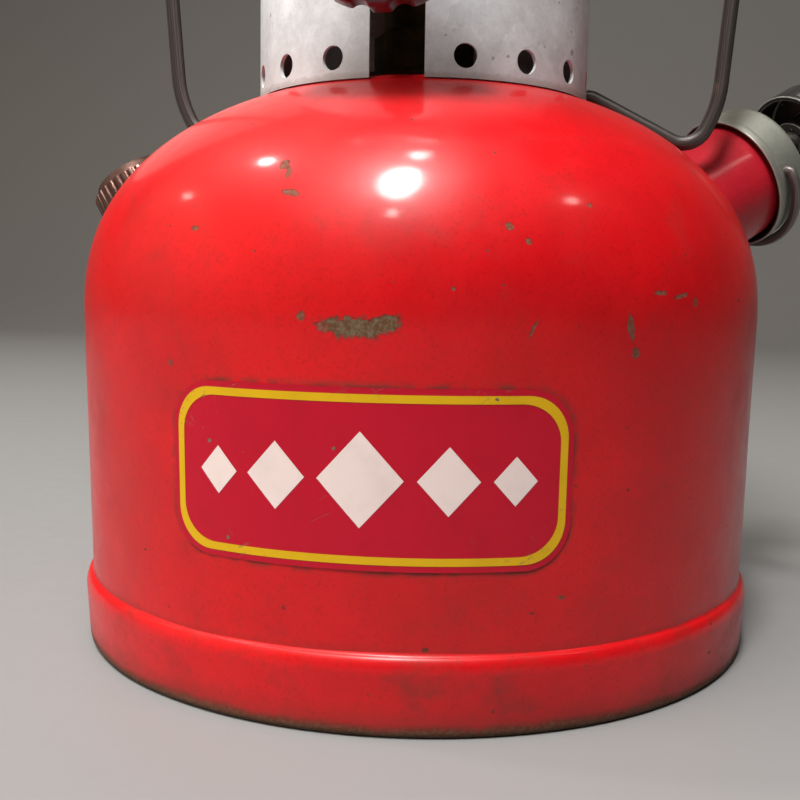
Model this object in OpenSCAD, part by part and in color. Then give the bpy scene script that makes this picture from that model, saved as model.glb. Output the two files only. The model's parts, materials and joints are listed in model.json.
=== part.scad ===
// Tabletop gas lantern: pressed fount with hand pump, valve and collar, mantle burner in a
// glass globe, ventilator and wire bail. Millimetres, +Z up, origin at the centre of the base.
// The valve wheel faces -Y. Azimuths run from the front (-Y) towards the right (+X).

/* [Fount] */
// Radius of the fount at its shoulder
fount_r = 75; // [70:0.5:82]
// Height of the shoulder, where the wall turns into the dome
shoulder_z = 71.8; // [62:0.2:84]
// Rise of the dome above the shoulder
dome_h = 50.7; // [46:0.1:56]
// Fullness of the dome, where 2 is an ellipse and more is squarer
dome_power = 2.2; // [2.05:0.05:2.4]
// Thickness of the pressed sheet
sheet = 0.9; // [0.7:0.05:1.2]
// How far the wall draws in between the shoulder and the skirt
wall_draw = 1.15; // [0.6:0.05:1.6]
// Height of the rolled skirt
skirt_h = 14.5; // [12:0.5:18]
// Height of the skirt's widest line
skirt_wide_z = 11.5; // [10:0.1:11.8]
// How far the skirt stands out beyond the wall
skirt_proud = 1.45; // [1:0.05:2]
// Radius of the standing edge, measured in from the skirt's widest line
foot_inset = 0.7; // [0.5:0.1:1.2]
// Width of the standing ring, its rounded outer edge included
foot_w = 3.6; // [3:0.1:4.6]
// Height of the recessed pan
pan_z = 9; // [6:0.5:10]

/* [Collar] */
// Outer radius of the collar
collar_r = 36.8; // [34:0.2:38]
// Height of the collar
collar_h = 46.5; // [44:0.5:52]
// Sheet thickness of the collar
collar_t = 0.8; // [0.6:0.1:1.2]
// Number of vent positions round the collar, of which the front one is the slot
vent_count = 17; // [13:2:19]
// Radius of a vent hole
vent_r = 2.4; // [1.8:0.1:2.6]
// Height of the vent holes above the collar's lower edge
vent_rise = 4.3; // [4:0.1:6]
// Width of the slot for the valve stem
slot_w = 11; // [9:0.5:12]

/* [Pump] */
// Outer radius of the barrel
barrel_r = 14.3; // [13.5:0.1:15]
// Wall of the barrel
barrel_t = 1.1; // [0.8:0.1:1.4]
// Length of the barrel inside the fount
barrel_depth = 116; // [108:1:120]
// Where the barrel's axis meets the dome, in from the fount's radius
pump_inset = 8.3; // [6:0.1:11]
// Azimuth of that point
pump_azimuth = 109.2; // [105:0.2:114]
// Azimuth that the pump points to, skewed so that the barrel clears the pickup tube
pump_heading = 126.5; // [124.5:0.5:129.5]
// Elevation of the pump
pump_elevation = 27; // [24:0.5:30]
// Length of barrel that shows below the cap
barrel_show = 12; // [9:0.5:15]
// Outer radius of the pump cap
pump_cap_r = 16.1; // [15.9:0.1:17]
// Height of the pump cap
pump_cap_h = 9.9; // [8.5:0.1:12]
// Wall of the pump cap
pump_cap_t = 1.5; // [1.1:0.1:1.5]
// Gap between the cap and the knob with the pump pushed in
knob_gap = 13.8; // [8:0.2:18]
// Radius of the pump knob
knob_r = 13; // [11:0.2:14]
// Height of the pump knob
knob_h = 9; // [7:0.5:12]
// Radius of the thumb hole in the knob
thumb_hole_r = 3.5; // [2.5:0.1:4]
// Radius of the plunger rod
rod_r = 4; // [3.4:0.1:4.6]
// Radius of the air stem inside the rod
air_stem_r = 1.6; // [1.2:0.1:2]
// Depth of the leather's cup
leather_h = 7; // [5:0.5:9]
// Wire radius of the cap's clip
clip_wire_r = 1.1; // [0.8:0.05:1.15]

/* [Filler] */
// Where the neck's axis meets the dome, in from the fount's radius
filler_inset = 5; // [4.6:0.1:5.6]
// Azimuth of the filler
filler_azimuth = -100.5; // [-106:0.5:-96]
// Elevation of the filler
filler_elevation = 58; // [56:0.5:59]
// Outer radius of the neck
neck_r = 8.8; // [8.4:0.1:9.2]
// Height of the neck above the dome
neck_h = 8.6; // [8.2:0.1:9]
// Radius of the filler cap
filler_cap_r = 12; // [11.6:0.1:12.2]
// Top of the filler cap above the dome
filler_cap_top = 13; // [12.8:0.1:13.6]
// Number of flutes round the filler cap
flute_count = 36; // [24:2:44]

/* [Valve] */
// Height of the valve stem above the crown
stem_rise = 22.5; // [20:0.5:24]
// Radius of the valve stem
stem_r = 2.5; // [2:0.1:3]
// Radius of the valve's upright
valve_r = 9; // [8:0.2:10]
// Radius of the shank screwed into the crown
shank_r = 6.5; // [5.5:0.1:7.5]
// Radius of the boss in the crown
boss_r = 11; // [10:0.2:12]
// Length of the gland, from the lantern's axis to the front
gland_l = 22; // [20:0.5:23]
// Radius of the valve wheel
wheel_r = 19; // [17:0.5:20]
// Thickness of the valve wheel
wheel_t = 8; // [6:0.5:10]
// Gap between the collar and the valve wheel
wheel_gap = 13; // [10:0.5:18]
// Number of finger scallops round the wheel
scallop_count = 16; // [12:4:20]
// Throw of the eccentric that works the cleaning rod
eccentric_throw = 0.8; // [0.6:0.05:0.9]

/* [Burner] */
// Distance of the generator behind the lantern's axis
generator_y = 22.5; // [21.5:0.1:24]
// Radius of the generator tube
generator_r = 3.6; // [3.2:0.1:4]
// Distance of the air tube in front of the lantern's axis
air_tube_y = 25; // [24:0.2:26]
// Outer radius of the air tube
air_tube_r = 6; // [5.4:0.1:6.4]
// Gap between the burner manifold and the ventilator base above it
manifold_gap = 1.2; // [1:0.1:3]
// Height of the burner manifold
manifold_h = 13; // [11:0.5:14]
// Widest radius of the mantle
mantle_r = 15; // [13:0.5:16]
// Length of the mantle
mantle_h = 58; // [50:1:62]
// Radius of the burner cap
burner_cap_r = 8; // [7:0.1:8.6]
// Radius of the lighting holes in the collar and the globe rest
lighting_r = 6.5; // [5.5:0.1:7]
// Distance of each frame post from the lantern's axis
post_x = 27; // [24:0.5:30]

/* [Globe and ventilator] */
// How far the globe's ends stand out beyond the collar
globe_overhang = 2.7; // [2:0.1:3.6]
// Bulge of the globe beyond its ends
globe_bulge = 9.5; // [7:0.5:11]
// Height of the globe
globe_h = 107; // [104:0.5:112]
// Glass thickness
glass_t = 2; // [1.6:0.1:2.6]
// Radius of the ventilator's brim
hood_r = 66; // [60:0.5:68]
// Height of the ventilator's crown above the globe
hood_rise = 28; // [26:0.5:32]
// Drop from the crown to the brim
hood_drop = 16; // [12:0.5:17]
// Radius of the ventilator's chimney
chimney_r = 30; // [28:0.5:32]
// Number of slots round the chimney
chimney_slots = 12; // [10:1:14]
// Radius of the ball nut
ball_r = 7.5; // [6.5:0.1:8.5]

/* [Bail] */
// Radius of the bail's wire
bail_wire_r = 1.65; // [1.4:0.05:1.8]
// How far each bail hole is turned back from the middle between two vents
bail_turn = 2.2; // [0:0.1:2.4]
// Bend radius where the wire leaves the collar
bail_elbow_r = 3.4; // [2.6:0.1:4]
// Height of the bail above the ball nut, to the wire's centre
bail_rise = 24.5; // [20:0.5:36]
// Clear space between the dome and the wire where it follows the dome
bail_dome_gap = 0.7; // [0.7:0.1:1.2]
// How far the lower bends stand in from the fount's radius
bail_low_inset = 17.2; // [15:0.2:19]
// Sideways set of the bent wire, to the right
bail_set = 3; // [0:0.1:3.2]
// How far the legs spread between the lower bend and the top
bail_spread = 22.8; // [20:0.2:26]
// Bend radius at the lower end of a leg
bail_low_bend = 5.4; // [4.6:0.1:5.6]
// Bend radius at the knee above it
bail_knee_bend = 25; // [20:0.5:26]
// Bend radius at the top corners
bail_top_bend = 60; // [54:1:64]

/* [Fits] */
// Running clearance on a radius
run_fit = 0.06; // [0.03:0.01:0.09]
// Clearance between pieces that stay together
seat_gap = 0.1; // [0.05:0.01:0.2]

/* [Hidden] */
$fn = 72;
eps = 0.01;

// Fount
dome_steps = 26;
crown_z = shoulder_z + dome_h;
shell_foot_z = skirt_h - 6;
boss_hole_r = boss_r + seat_gap;
skirt_r = wall_r(skirt_h) + skirt_proud;
foot_r = skirt_r - foot_inset;
foot_round = 1.6;
pan_r = foot_r - foot_w - pan_z / 2;

// Collar
collar_foot_z = dome_z(collar_r - collar_t) + seat_gap;
collar_top_z = collar_foot_z + collar_h;
collar_flange = 4;
vent_pitch = 360 / vent_count;

// Pump, along its own axis from the point where it meets the dome
cap_foot = barrel_show;
cap_top = cap_foot + pump_cap_h;
barrel_top = cap_top - pump_cap_t - seat_gap;
barrel_bore = barrel_r - barrel_t;
knob_foot = cap_top + knob_gap;
knob_top = knob_foot + knob_h;
check_r = 4.5;
check_hex_h = 3.8;
check_length = 9;
rod_foot = -barrel_depth + barrel_t + check_hex_h + 2;
rivet_h = 2;
retainer_h = 2.6;
retainer_foot = rod_foot + rivet_h + seat_gap;
leather_foot = retainer_foot + retainer_h + seat_gap;
leather_t = 1.6;
leather_top = leather_foot + leather_h;
rod_flange_h = 1.5;
air_stem_top = cap_foot - 4;
clip_level = cap_foot + 4;
clip_bend_r = pump_cap_r + clip_wire_r + seat_gap;
clip_half_angle = 92;
mouth_wall = 0.7;
mouth_depth = 2.4;

// Filler, along its own axis from the dome
neck_depth = 8;
neck_bore_r = neck_r - 2;
gasket_t = 1.5;
gasket_foot = neck_h + seat_gap;
cap_ceiling = gasket_foot + gasket_t + seat_gap;
filler_cap_foot = 5.2;
relief_r = 0.75;
relief_z = filler_cap_foot + 2.2;
relief_turn = 35;

// Valve
stem_z = crown_z + stem_rise;
boss_flange_h = 1.6;
boss_flange_w = 3;
boss_top_z = crown_z + seat_gap + boss_flange_h;
shank_l = 9;
shank_foot_z = crown_z - shank_l;
valve_hex_h = 9;
gland_r = 6.5;
nut_l = 10;
wheel_back = collar_r + wheel_gap;
stem_tip_y = generator_y - 4;
eccentric_pin_r = 0.7;
eccentric_pin_l = 6;
rod_eye_r = eccentric_throw + eccentric_pin_r + 0.15;
rod_eye_w = 0.9;
chamber_r = rod_eye_r + rod_eye_w + 0.8;
seat_r = 8;
stub_r = chamber_r + 2.1;
stub_h = 7;
pickup_r = 2.6;
pickup_wall = 0.6;
pickup_gap = 4;
screw_r = 3.2;

// Burner
globe_end_r = collar_r + globe_overhang;
globe_arc_r = (pow(globe_h / 2, 2) + pow(globe_bulge, 2)) / (2 * globe_bulge);
rest_t = 1;
rest_rim_h = 4;
rim_gap = 0.3;
rest_z = collar_top_z + seat_gap;
rest_top_z = rest_z + rest_t;
rest_r = globe_radius(globe_h / 2 - rest_rim_h) + rim_gap;
stub_top_z = rest_top_z + stub_h;
generator_flange_h = 1.5;
nut_hex_r = stub_r + 3;
nut_top_t = 2;
lighting_azimuth = -90;
lighting_edge = 6;
lighting_z = collar_top_z - lighting_r - lighting_edge;
lighting_reach = 22;
air_tube_drop = 5;
globe_z = rest_top_z + seat_gap;
globe_top_z = globe_z + globe_h;
base_plate_z = globe_top_z + seat_gap;
manifold_top_z = base_plate_z - manifold_gap;
manifold_z = manifold_top_z - manifold_h;
manifold_r = 9;
manifold_t = 1;
burner_tube_r = burner_cap_r - 1.5;
burner_tube_l = 11;
burner_cap_h = 11;
cap_foot_z = manifold_z - burner_tube_l - burner_cap_h;
tie_groove = 0.9;
mantle_t = 0.8;
mantle_top_z = cap_foot_z + burner_cap_h - 1;
mantle_foot_z = mantle_top_z - mantle_h;
mantle_steps = 20;
mantle_belly = 0.42;
post_w = 6;
post_t = 1.5;
bridge_z = manifold_top_z + seat_gap;
bridge_t = 1.4;
stud_r = 2.5;

// Globe and ventilator
base_lip_h = 4;
base_t = 1;
crown_seat_z = globe_top_z + hood_rise;
hood_t = 1;
hood_steps = 10;
brim_roll_r = 1.4;
nut_foot_z = crown_seat_z + seat_gap + hood_t;
ball_rise = 6.6;
ball_z = nut_foot_z + ball_rise;
ball_top_z = ball_z + ball_r;
stud_top_z = ball_z + 3;

// Bail, in its own plane: distance from the lantern's axis to the side, and height
bail_azimuth = (floor(90 / vent_pitch) + 0.5) * vent_pitch + bail_turn;
bail_y = -collar_r * cos(bail_azimuth);
bail_end = collar_r - 2.8;
bail_top_z = ball_top_z + bail_rise;
elbow_gap = 0.3;
bend_swell = 0.03;
bend_reach = 0.3;
follow_start = 6;
follow_span = 12;
near_s = collar_r + follow_start;
far_s = near_s + follow_span;
slope = (dome_at(far_s) - dome_at(near_s)) / (far_s - near_s);
follow_gap = (bail_dome_gap + bail_wire_r) * sqrt(1 + slope * slope);
elbow_s = collar_r + elbow_gap + bail_elbow_r * tan(atan(-slope) / 2);
bail_hole_z = dome_at(far_s) + follow_gap + slope * (elbow_s - far_s);
low_s = fount_r - bail_low_inset;
knee_out = 5.1;
knee_rise = 10;
bail_path = concat(bail_leg(1), reversed(bail_leg(-1)));
leg_bends = [0, bail_elbow_r, bail_low_bend, bail_knee_bend, bail_top_bend];
bail_bends = concat(leg_bends, reversed(leg_bends));

// Radius of the fount's wall at a height below the shoulder
function wall_r(z) = fount_r - wall_draw * (shoulder_z - z) / (shoulder_z - skirt_h);

// Height of the dome at a radius
function dome_z(r) = shoulder_z + dome_h * pow(1 - pow(r / fount_r, dome_power), 1 / dome_power);

// Height of the dome beside the bail's plane, at a distance to the side
function dome_at(s) = dome_z(norm([s, bail_y]));

// Corners of one half of the bail, from the collar to the top
function bail_leg(side) =
    let (s = low_s + side * bail_set)
    let (z = bail_hole_z + slope * (s - elbow_s))
    let (half = [[bail_end, bail_hole_z], [elbow_s, bail_hole_z], [s, z], [s + knee_out, z + knee_rise],
        [s + bail_spread, bail_top_z]])
    [for (corner = half) [side * corner[0], corner[1]]];

// Outline of the dome from the shoulder up to a radius, set in from its outer face
function dome_points(inset, r_end) =
    let (a = fount_r - inset, b = dome_h - inset)
    let (t_end = acos(pow(r_end / a, dome_power / 2)))
    [for (i = [0:dome_steps])
        let (t = t_end * i / dome_steps)
        [a * pow(cos(t), 2 / dome_power), shoulder_z + b * pow(sin(t), 2 / dome_power)]];

// Outer radius of the globe at a height above or below its middle
function globe_radius(z) = globe_end_r + globe_bulge - globe_arc_r + sqrt(globe_arc_r * globe_arc_r - z * z);

function reversed(list) = [for (i = [len(list) - 1:-1:0]) list[i]];

function unit(v) = v / norm(v);

// Radius of the mantle at a share of its length from the foot, as a sock drawn in at the neck
function mantle_radius(u, skin) =
    let (neck = burner_cap_r + seat_gap + mantle_t - skin)
    let (belly = sqrt(max(0, 1 - pow(1 - min(1, u / mantle_belly), 2))))
    let (draw = max(0, cos(90 * max(0, u - mantle_belly) / (1 - mantle_belly))))
    u < mantle_belly ? (mantle_r - skin) * belly : neck + (mantle_r - skin - neck) * pow(draw, 1.4);

module facing(azimuth) {
    rotate([0, 0, azimuth - 90])
        children();
}

module on_dome(inset, azimuth, heading, elevation) {
    facing(azimuth)
        translate([fount_r - inset, 0, dome_z(fount_r - inset)])
            rotate([0, 90 - elevation, heading - azimuth])
                children();
}

module on_pump_axis() {
    on_dome(pump_inset, pump_azimuth, pump_heading, pump_elevation)
        children();
}

module on_filler_axis() {
    on_dome(filler_inset, filler_azimuth, filler_azimuth, filler_elevation)
        children();
}

// Children drawn along +Z point to the front at the height of the valve stem
module along_stem() {
    translate([0, 0, stem_z])
        rotate([90, 0, 0])
            children();
}

module tube(r_out, r_in, z_low, z_high) {
    translate([0, 0, z_low])
        difference() {
            cylinder(r = r_out, h = z_high - z_low);
            translate([0, 0, -1])
                cylinder(r = r_in, h = z_high - z_low + 2);
        }
}

module hex_tube(r_out, r_in, z_low, z_high) {
    translate([0, 0, z_low])
        difference() {
            cylinder(r = r_out, h = z_high - z_low, $fn = 6);
            translate([0, 0, -1])
                cylinder(r = r_in, h = z_high - z_low + 2);
        }
}

// Round wire along a flat path, with a bend radius at each corner. A bend swells a little, and
// the straight runs reach into it, so that no two faces of the wire lie on each other.
module bent_wire(path, bends, wire_r) {
    last = len(path) - 1;
    function way(i) = unit(path[i + 1] - path[i]);
    function turn(i) = let (u = way(i - 1), v = way(i)) atan2(u[0] * v[1] - u[1] * v[0], u * v);
    function trim(i) = i == 0 || i == last ? 0 : bends[i] * tan(abs(turn(i)) / 2);
    for (i = [0:last - 1]) {
        before = i == 0 ? 0 : bend_reach;
        after = i == last - 1 ? 0 : bend_reach;
        start = path[i] + way(i) * (trim(i) - before);
        length = norm(path[i + 1] - path[i]) - trim(i) - trim(i + 1) + before + after;
        translate(start)
            rotate([0, 0, atan2(way(i)[1], way(i)[0])])
                rotate([0, 90, 0])
                    cylinder(r = wire_r, h = length);
    }
    for (i = [1:last - 1]) {
        side = sign(turn(i));
        begin = path[i] - way(i - 1) * trim(i);
        centre = begin + side * bends[i] * [-way(i - 1)[1], way(i - 1)[0]];
        from = side > 0 ? begin - centre : path[i] + way(i) * trim(i) - centre;
        translate(centre)
            rotate([0, 0, atan2(from[1], from[0])])
                rotate_extrude(angle = abs(turn(i)))
                    translate([bends[i], 0])
                        circle(r = wire_r + bend_swell);
    }
}

module fount_shell() {
    color("firebrick")
        difference() {
            rotate_extrude()
                polygon(concat(
                    [[wall_r(shell_foot_z) - sheet, shell_foot_z], [wall_r(shell_foot_z), shell_foot_z]],
                    dome_points(0, boss_hole_r),
                    reversed(dome_points(sheet, boss_hole_r))));
            on_pump_axis()
                translate([0, 0, -2 * barrel_r])
                    cylinder(r = barrel_r + seat_gap, h = 4 * barrel_r);
            on_filler_axis()
                translate([0, 0, -2 * neck_depth])
                    cylinder(r = neck_r + seat_gap, h = 4 * neck_depth);
        }
}

module fount_bottom() {
    lip_r = wall_r(skirt_h) + seat_gap;
    slant = sheet / 2;
    color("firebrick")
        rotate_extrude()
            polygon(concat(
                [[0, pan_z], [pan_r, pan_z], [foot_r - foot_w, 0]],
                [for (a = [-90:30:0])
                    [foot_r - foot_round * (1 - cos(a)), foot_round * (1 + sin(a))]],
                [for (a = [0:15:90])
                    [lip_r + (skirt_r - lip_r) * cos(a), skirt_wide_z + (skirt_h - skirt_wide_z) * sin(a)]],
                [[wall_r(shell_foot_z) + seat_gap, shell_foot_z],
                    [foot_r - sheet, foot_round],
                    [foot_r - foot_round, sheet],
                    [foot_r - foot_w + slant, sheet],
                    [pan_r + slant, pan_z + sheet],
                    [0, pan_z + sheet]]));
}

module valve_boss() {
    flange_r = boss_r + boss_flange_w;
    color("darkgoldenrod") {
        difference() {
            union() {
                translate([0, 0, shank_foot_z])
                    cylinder(r = boss_r, h = boss_top_z - shank_foot_z);
                translate([0, 0, crown_z + seat_gap])
                    cylinder(r = flange_r, h = boss_flange_h);
            }
            translate([0, 0, shank_foot_z - 1])
                cylinder(r = shank_r + seat_gap, h = boss_top_z - shank_foot_z + 2);
        }
    }
}

module filler_neck() {
    color("darkgoldenrod")
        on_filler_axis()
            tube(neck_r, neck_bore_r, -neck_depth, neck_h);
}

module filler_gasket() {
    color("dimgray")
        on_filler_axis()
            translate([0, 0, gasket_foot])
                cylinder(r = neck_r, h = gasket_t);
}

module filler_cap() {
    flute_r = 0.7;
    crown_r = filler_cap_r - flute_r;
    bevel_w = 1.2;
    bevel_h = 2.2;
    color("silver")
        on_filler_axis()
            difference() {
                union() {
                    translate([0, 0, filler_cap_foot])
                        linear_extrude(filler_cap_top - bevel_h - filler_cap_foot)
                            difference() {
                                circle(r = filler_cap_r);
                                for (i = [0:flute_count - 1])
                                    rotate(i * 360 / flute_count)
                                        translate([filler_cap_r + flute_r / 3, 0])
                                            circle(r = flute_r);
                            }
                    translate([0, 0, filler_cap_top - bevel_h - eps])
                        cylinder(r1 = crown_r, r2 = crown_r - bevel_w, h = bevel_h + eps);
                }
                cylinder(r = neck_r + 2 * seat_gap, h = cap_ceiling);
                rotate([0, 0, relief_turn])
                    translate([0, 0, relief_z])
                        rotate([0, 90, 0])
                            cylinder(r = relief_r, h = 2 * filler_cap_r);
            }
}

module pump_tube() {
    color("crimson")
        on_pump_axis()
            difference() {
                translate([0, 0, -barrel_depth])
                    cylinder(r = barrel_r, h = barrel_top + barrel_depth);
                translate([0, 0, barrel_t - barrel_depth])
                    cylinder(r = barrel_bore, h = barrel_top + barrel_depth);
                translate([0, 0, -barrel_depth - 1])
                    cylinder(r = check_r + seat_gap, h = barrel_t + 2);
                clip_holes();
            }
}

module clip_holes() {
    for (side = [-1, 1])
        rotate([0, 0, side * clip_half_angle])
            translate([0, 0, clip_level])
                rotate([0, 90, 0])
                    cylinder(r = clip_wire_r + seat_gap, h = 2 * pump_cap_r);
}

module pump_cap() {
    neck_boss_r = rod_r + 2.6;
    neck_boss_h = 1.6;
    color("darkgray")
        on_pump_axis()
            difference() {
                union() {
                    translate([0, 0, cap_foot])
                        cylinder(r = pump_cap_r, h = pump_cap_h);
                    translate([0, 0, cap_top - eps])
                        cylinder(r = neck_boss_r, h = neck_boss_h + eps);
                }
                translate([0, 0, cap_foot - 1])
                    cylinder(r = barrel_r + seat_gap, h = pump_cap_h - pump_cap_t + 1);
                translate([0, 0, cap_foot - 1])
                    cylinder(r = pump_cap_r - mouth_wall, h = mouth_depth + 1);
                translate([0, 0, cap_foot])
                    cylinder(r = rod_r + run_fit, h = 2 * pump_cap_h);
                clip_holes();
            }
}

module pump_clip() {
    leg_start = barrel_bore + seat_gap;
    color("gray")
        on_pump_axis()
            translate([0, 0, clip_level]) {
                rotate([0, 0, -clip_half_angle])
                    rotate_extrude(angle = 2 * clip_half_angle)
                        translate([clip_bend_r, 0])
                            circle(r = clip_wire_r);
                for (side = [-1, 1])
                    rotate([0, 0, side * clip_half_angle])
                        translate([leg_start, 0, 0])
                            rotate([0, 90, 0])
                                cylinder(r = clip_wire_r, h = clip_bend_r + clip_wire_r - leg_start);
            }
}

module pump_leather() {
    skin_r = barrel_bore - run_fit;
    hole_r = rod_r + run_fit;
    web_z = leather_top - leather_t;
    color("saddlebrown")
        on_pump_axis()
            rotate_extrude()
                polygon([[hole_r, web_z], [skin_r - leather_t, web_z], [skin_r - leather_t, leather_foot],
                    [skin_r, leather_foot], [skin_r, web_z], [skin_r - leather_t, leather_top],
                    [hole_r, leather_top]]);
}

module leather_retainer() {
    hub_r = rod_r + 3;
    plate_r = barrel_bore - 4 * leather_t;
    color("silver")
        on_pump_axis()
            difference() {
                union() {
                    translate([0, 0, retainer_foot])
                        cylinder(r = plate_r, h = retainer_h / 2);
                    translate([0, 0, retainer_foot])
                        cylinder(r = hub_r, h = leather_top - leather_t - seat_gap - retainer_foot);
                }
                translate([0, 0, retainer_foot - 1])
                    cylinder(r = rod_r + run_fit, h = leather_h + retainer_h + 2);
            }
}

module plunger_rod() {
    flange_r = rod_r + 3;
    rivet_r = rod_r + 1.4;
    color("silver")
        on_pump_axis()
            difference() {
                union() {
                    translate([0, 0, rod_foot])
                        cylinder(r = rod_r, h = knob_top - 2 - rod_foot);
                    translate([0, 0, rod_foot])
                        cylinder(r = rivet_r, h = rivet_h);
                    translate([0, 0, leather_top + seat_gap])
                        cylinder(r = flange_r, h = rod_flange_h);
                }
                translate([0, 0, rod_foot - 1])
                    cylinder(r = air_stem_r + run_fit, h = knob_top - 4 - rod_foot);
            }
}

module pump_knob() {
    wall = 1.2;
    hub_r = rod_r + 2;
    roll_r = 1.1;
    color("slategray")
        on_pump_axis()
            difference() {
                union() {
                    translate([0, 0, knob_foot])
                        cylinder(r = knob_r, h = knob_h - roll_r);
                    translate([0, 0, knob_top - roll_r - eps])
                        cylinder(r1 = knob_r, r2 = knob_r - roll_r, h = roll_r + eps);
                }
                translate([0, 0, knob_foot - 1])
                    difference() {
                        cylinder(r = knob_r - wall, h = knob_h - wall + 1);
                        cylinder(r = hub_r, h = knob_h + 2);
                    }
                translate([0, 0, knob_foot - 1])
                    cylinder(r = rod_r + seat_gap, h = knob_h - 2 + 1 + seat_gap);
                translate([0, 0, knob_foot])
                    cylinder(r = thumb_hole_r, h = 2 * knob_h);
            }
}

module check_valve() {
    end_z = -barrel_depth;
    hex_r = check_r + 2.2;
    color("darkgoldenrod")
        on_pump_axis()
            difference() {
                union() {
                    translate([0, 0, end_z + barrel_t + seat_gap])
                        cylinder(r = hex_r, h = check_hex_h - seat_gap, $fn = 6);
                    translate([0, 0, end_z - check_length])
                        cylinder(r = check_r, h = check_length + barrel_t + 2 * seat_gap);
                }
                translate([0, 0, end_z - check_length + 2])
                    cylinder(r = air_stem_r + run_fit, h = check_length + barrel_t + check_hex_h);
                translate([0, 0, end_z - check_length / 2])
                    rotate([0, 90, 0])
                        cylinder(r = 1, h = 2 * check_r);
            }
}

module air_stem() {
    foot = -barrel_depth - check_length / 2 + 2;
    tip_h = 2;
    color("goldenrod")
        on_pump_axis() {
            translate([0, 0, foot])
                cylinder(r = air_stem_r, h = air_stem_top - foot);
            translate([0, 0, foot - tip_h])
                cylinder(r1 = air_stem_r / 3, r2 = air_stem_r, h = tip_h);
        }
}

module valve_body() {
    seat_foot_z = stem_z - chamber_r - 3;
    color("darkgoldenrod")
        difference() {
            union() {
                translate([0, 0, shank_foot_z])
                    cylinder(r = shank_r, h = boss_top_z - shank_foot_z + 1);
                translate([0, 0, boss_top_z + seat_gap])
                    cylinder(r = valve_r + 2.4, h = valve_hex_h, $fn = 6);
                translate([0, 0, boss_top_z + 1])
                    cylinder(r = valve_r, h = stem_z + gland_r + 1 - boss_top_z);
                along_stem()
                    translate([0, 0, -generator_y])
                        cylinder(r = gland_r, h = generator_y + gland_l);
                translate([0, generator_y, seat_foot_z])
                    cylinder(r = seat_r, h = rest_z - seat_gap - seat_foot_z);
                translate([0, generator_y, rest_z - 1])
                    cylinder(r = stub_r, h = stub_top_z - rest_z + 1);
            }
            along_stem()
                translate([0, 0, -generator_y])
                    cylinder(r = stem_r + run_fit, h = generator_y + gland_l + 1);
            translate([0, generator_y, stem_z - chamber_r])
                cylinder(r = chamber_r, h = stub_top_z - stem_z + 2 * chamber_r);
            translate([0, 0, shank_foot_z - 1])
                cylinder(r = pickup_r + seat_gap, h = valve_hex_h + 1);
            translate([0, 0, shank_foot_z])
                cylinder(r = pickup_r - pickup_wall, h = stem_z - shank_foot_z);
        }
}

module pickup_tube() {
    foot_z = pan_z + sheet + pickup_gap;
    color("darkgoldenrod")
        tube(pickup_r, pickup_r - pickup_wall, foot_z, shank_foot_z + valve_hex_h - seat_gap);
}

module valve_stem() {
    color("goldenrod")
        along_stem() {
            translate([0, 0, -stem_tip_y])
                cylinder(r = stem_r, h = stem_tip_y + wheel_back + wheel_t - 2);
            translate([0, -eccentric_throw, -stem_tip_y - eccentric_pin_l])
                cylinder(r = eccentric_pin_r, h = eccentric_pin_l + eps);
        }
}

module packing_nut() {
    color("darkgoldenrod")
        along_stem()
            hex_tube(gland_r + 1.5, stem_r + run_fit, gland_l + seat_gap, gland_l + nut_l);
}

module valve_wheel() {
    rim_w = 5;
    web_t = 3;
    hub_r = stem_r + 4;
    scallop_r = 2.4;
    front = wheel_back + wheel_t;
    color("darkred")
        along_stem()
            difference() {
                rotate_extrude()
                    polygon([[0, wheel_back], [hub_r, wheel_back], [hub_r, front - web_t - 1],
                        [wheel_r - rim_w, front - web_t - 1], [wheel_r - rim_w, wheel_back + 1],
                        [wheel_r - 1, wheel_back + 1], [wheel_r, wheel_back + 2], [wheel_r, front - 1.5],
                        [wheel_r - 1.5, front], [wheel_r - rim_w, front], [wheel_r - rim_w - 1, front - 1],
                        [hub_r + 1, front - 1], [hub_r, front], [0, front]]);
                for (i = [0:scallop_count - 1])
                    rotate([0, 0, (i + 0.5) * 360 / scallop_count])
                        translate([wheel_r + scallop_r * 0.55, 0, wheel_back - 1])
                            cylinder(r = scallop_r, h = wheel_t + 2);
                translate([0, 0, wheel_back - 1])
                    cylinder(r = stem_r + seat_gap, h = wheel_t - 1 + seat_gap);
                translate([0, 0, wheel_back])
                    cylinder(r = screw_r / 2 + seat_gap, h = wheel_t + 1);
            }
}

module wheel_screw() {
    front = wheel_back + wheel_t;
    head_h = 1.8;
    slot = 0.8;
    color("silver")
        along_stem()
            difference() {
                union() {
                    translate([0, 0, front + seat_gap])
                        cylinder(r = screw_r, h = head_h);
                    translate([0, 0, front - 2 + seat_gap])
                        cylinder(r = screw_r / 2, h = 2);
                }
                translate([-screw_r - 1, -slot / 2, front + seat_gap + head_h - slot])
                    cube([2 * screw_r + 2, slot, 1]);
            }
}

module cleaning_rod() {
    needle_r = 0.6;
    needle_top = manifold_z + 3;
    color("goldenrod")
        translate([0, generator_y, 0]) {
            translate([0, 0.5, stem_z])
                rotate([90, 0, 0])
                    difference() {
                        cylinder(r = rod_eye_r + rod_eye_w, h = 1);
                        translate([0, 0, -1])
                            cylinder(r = rod_eye_r, h = 3);
                    }
            translate([0, 0, stem_z + rod_eye_r + rod_eye_w / 2])
                cylinder(r = needle_r, h = needle_top - stem_z - rod_eye_r - rod_eye_w / 2);
        }
}

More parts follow.
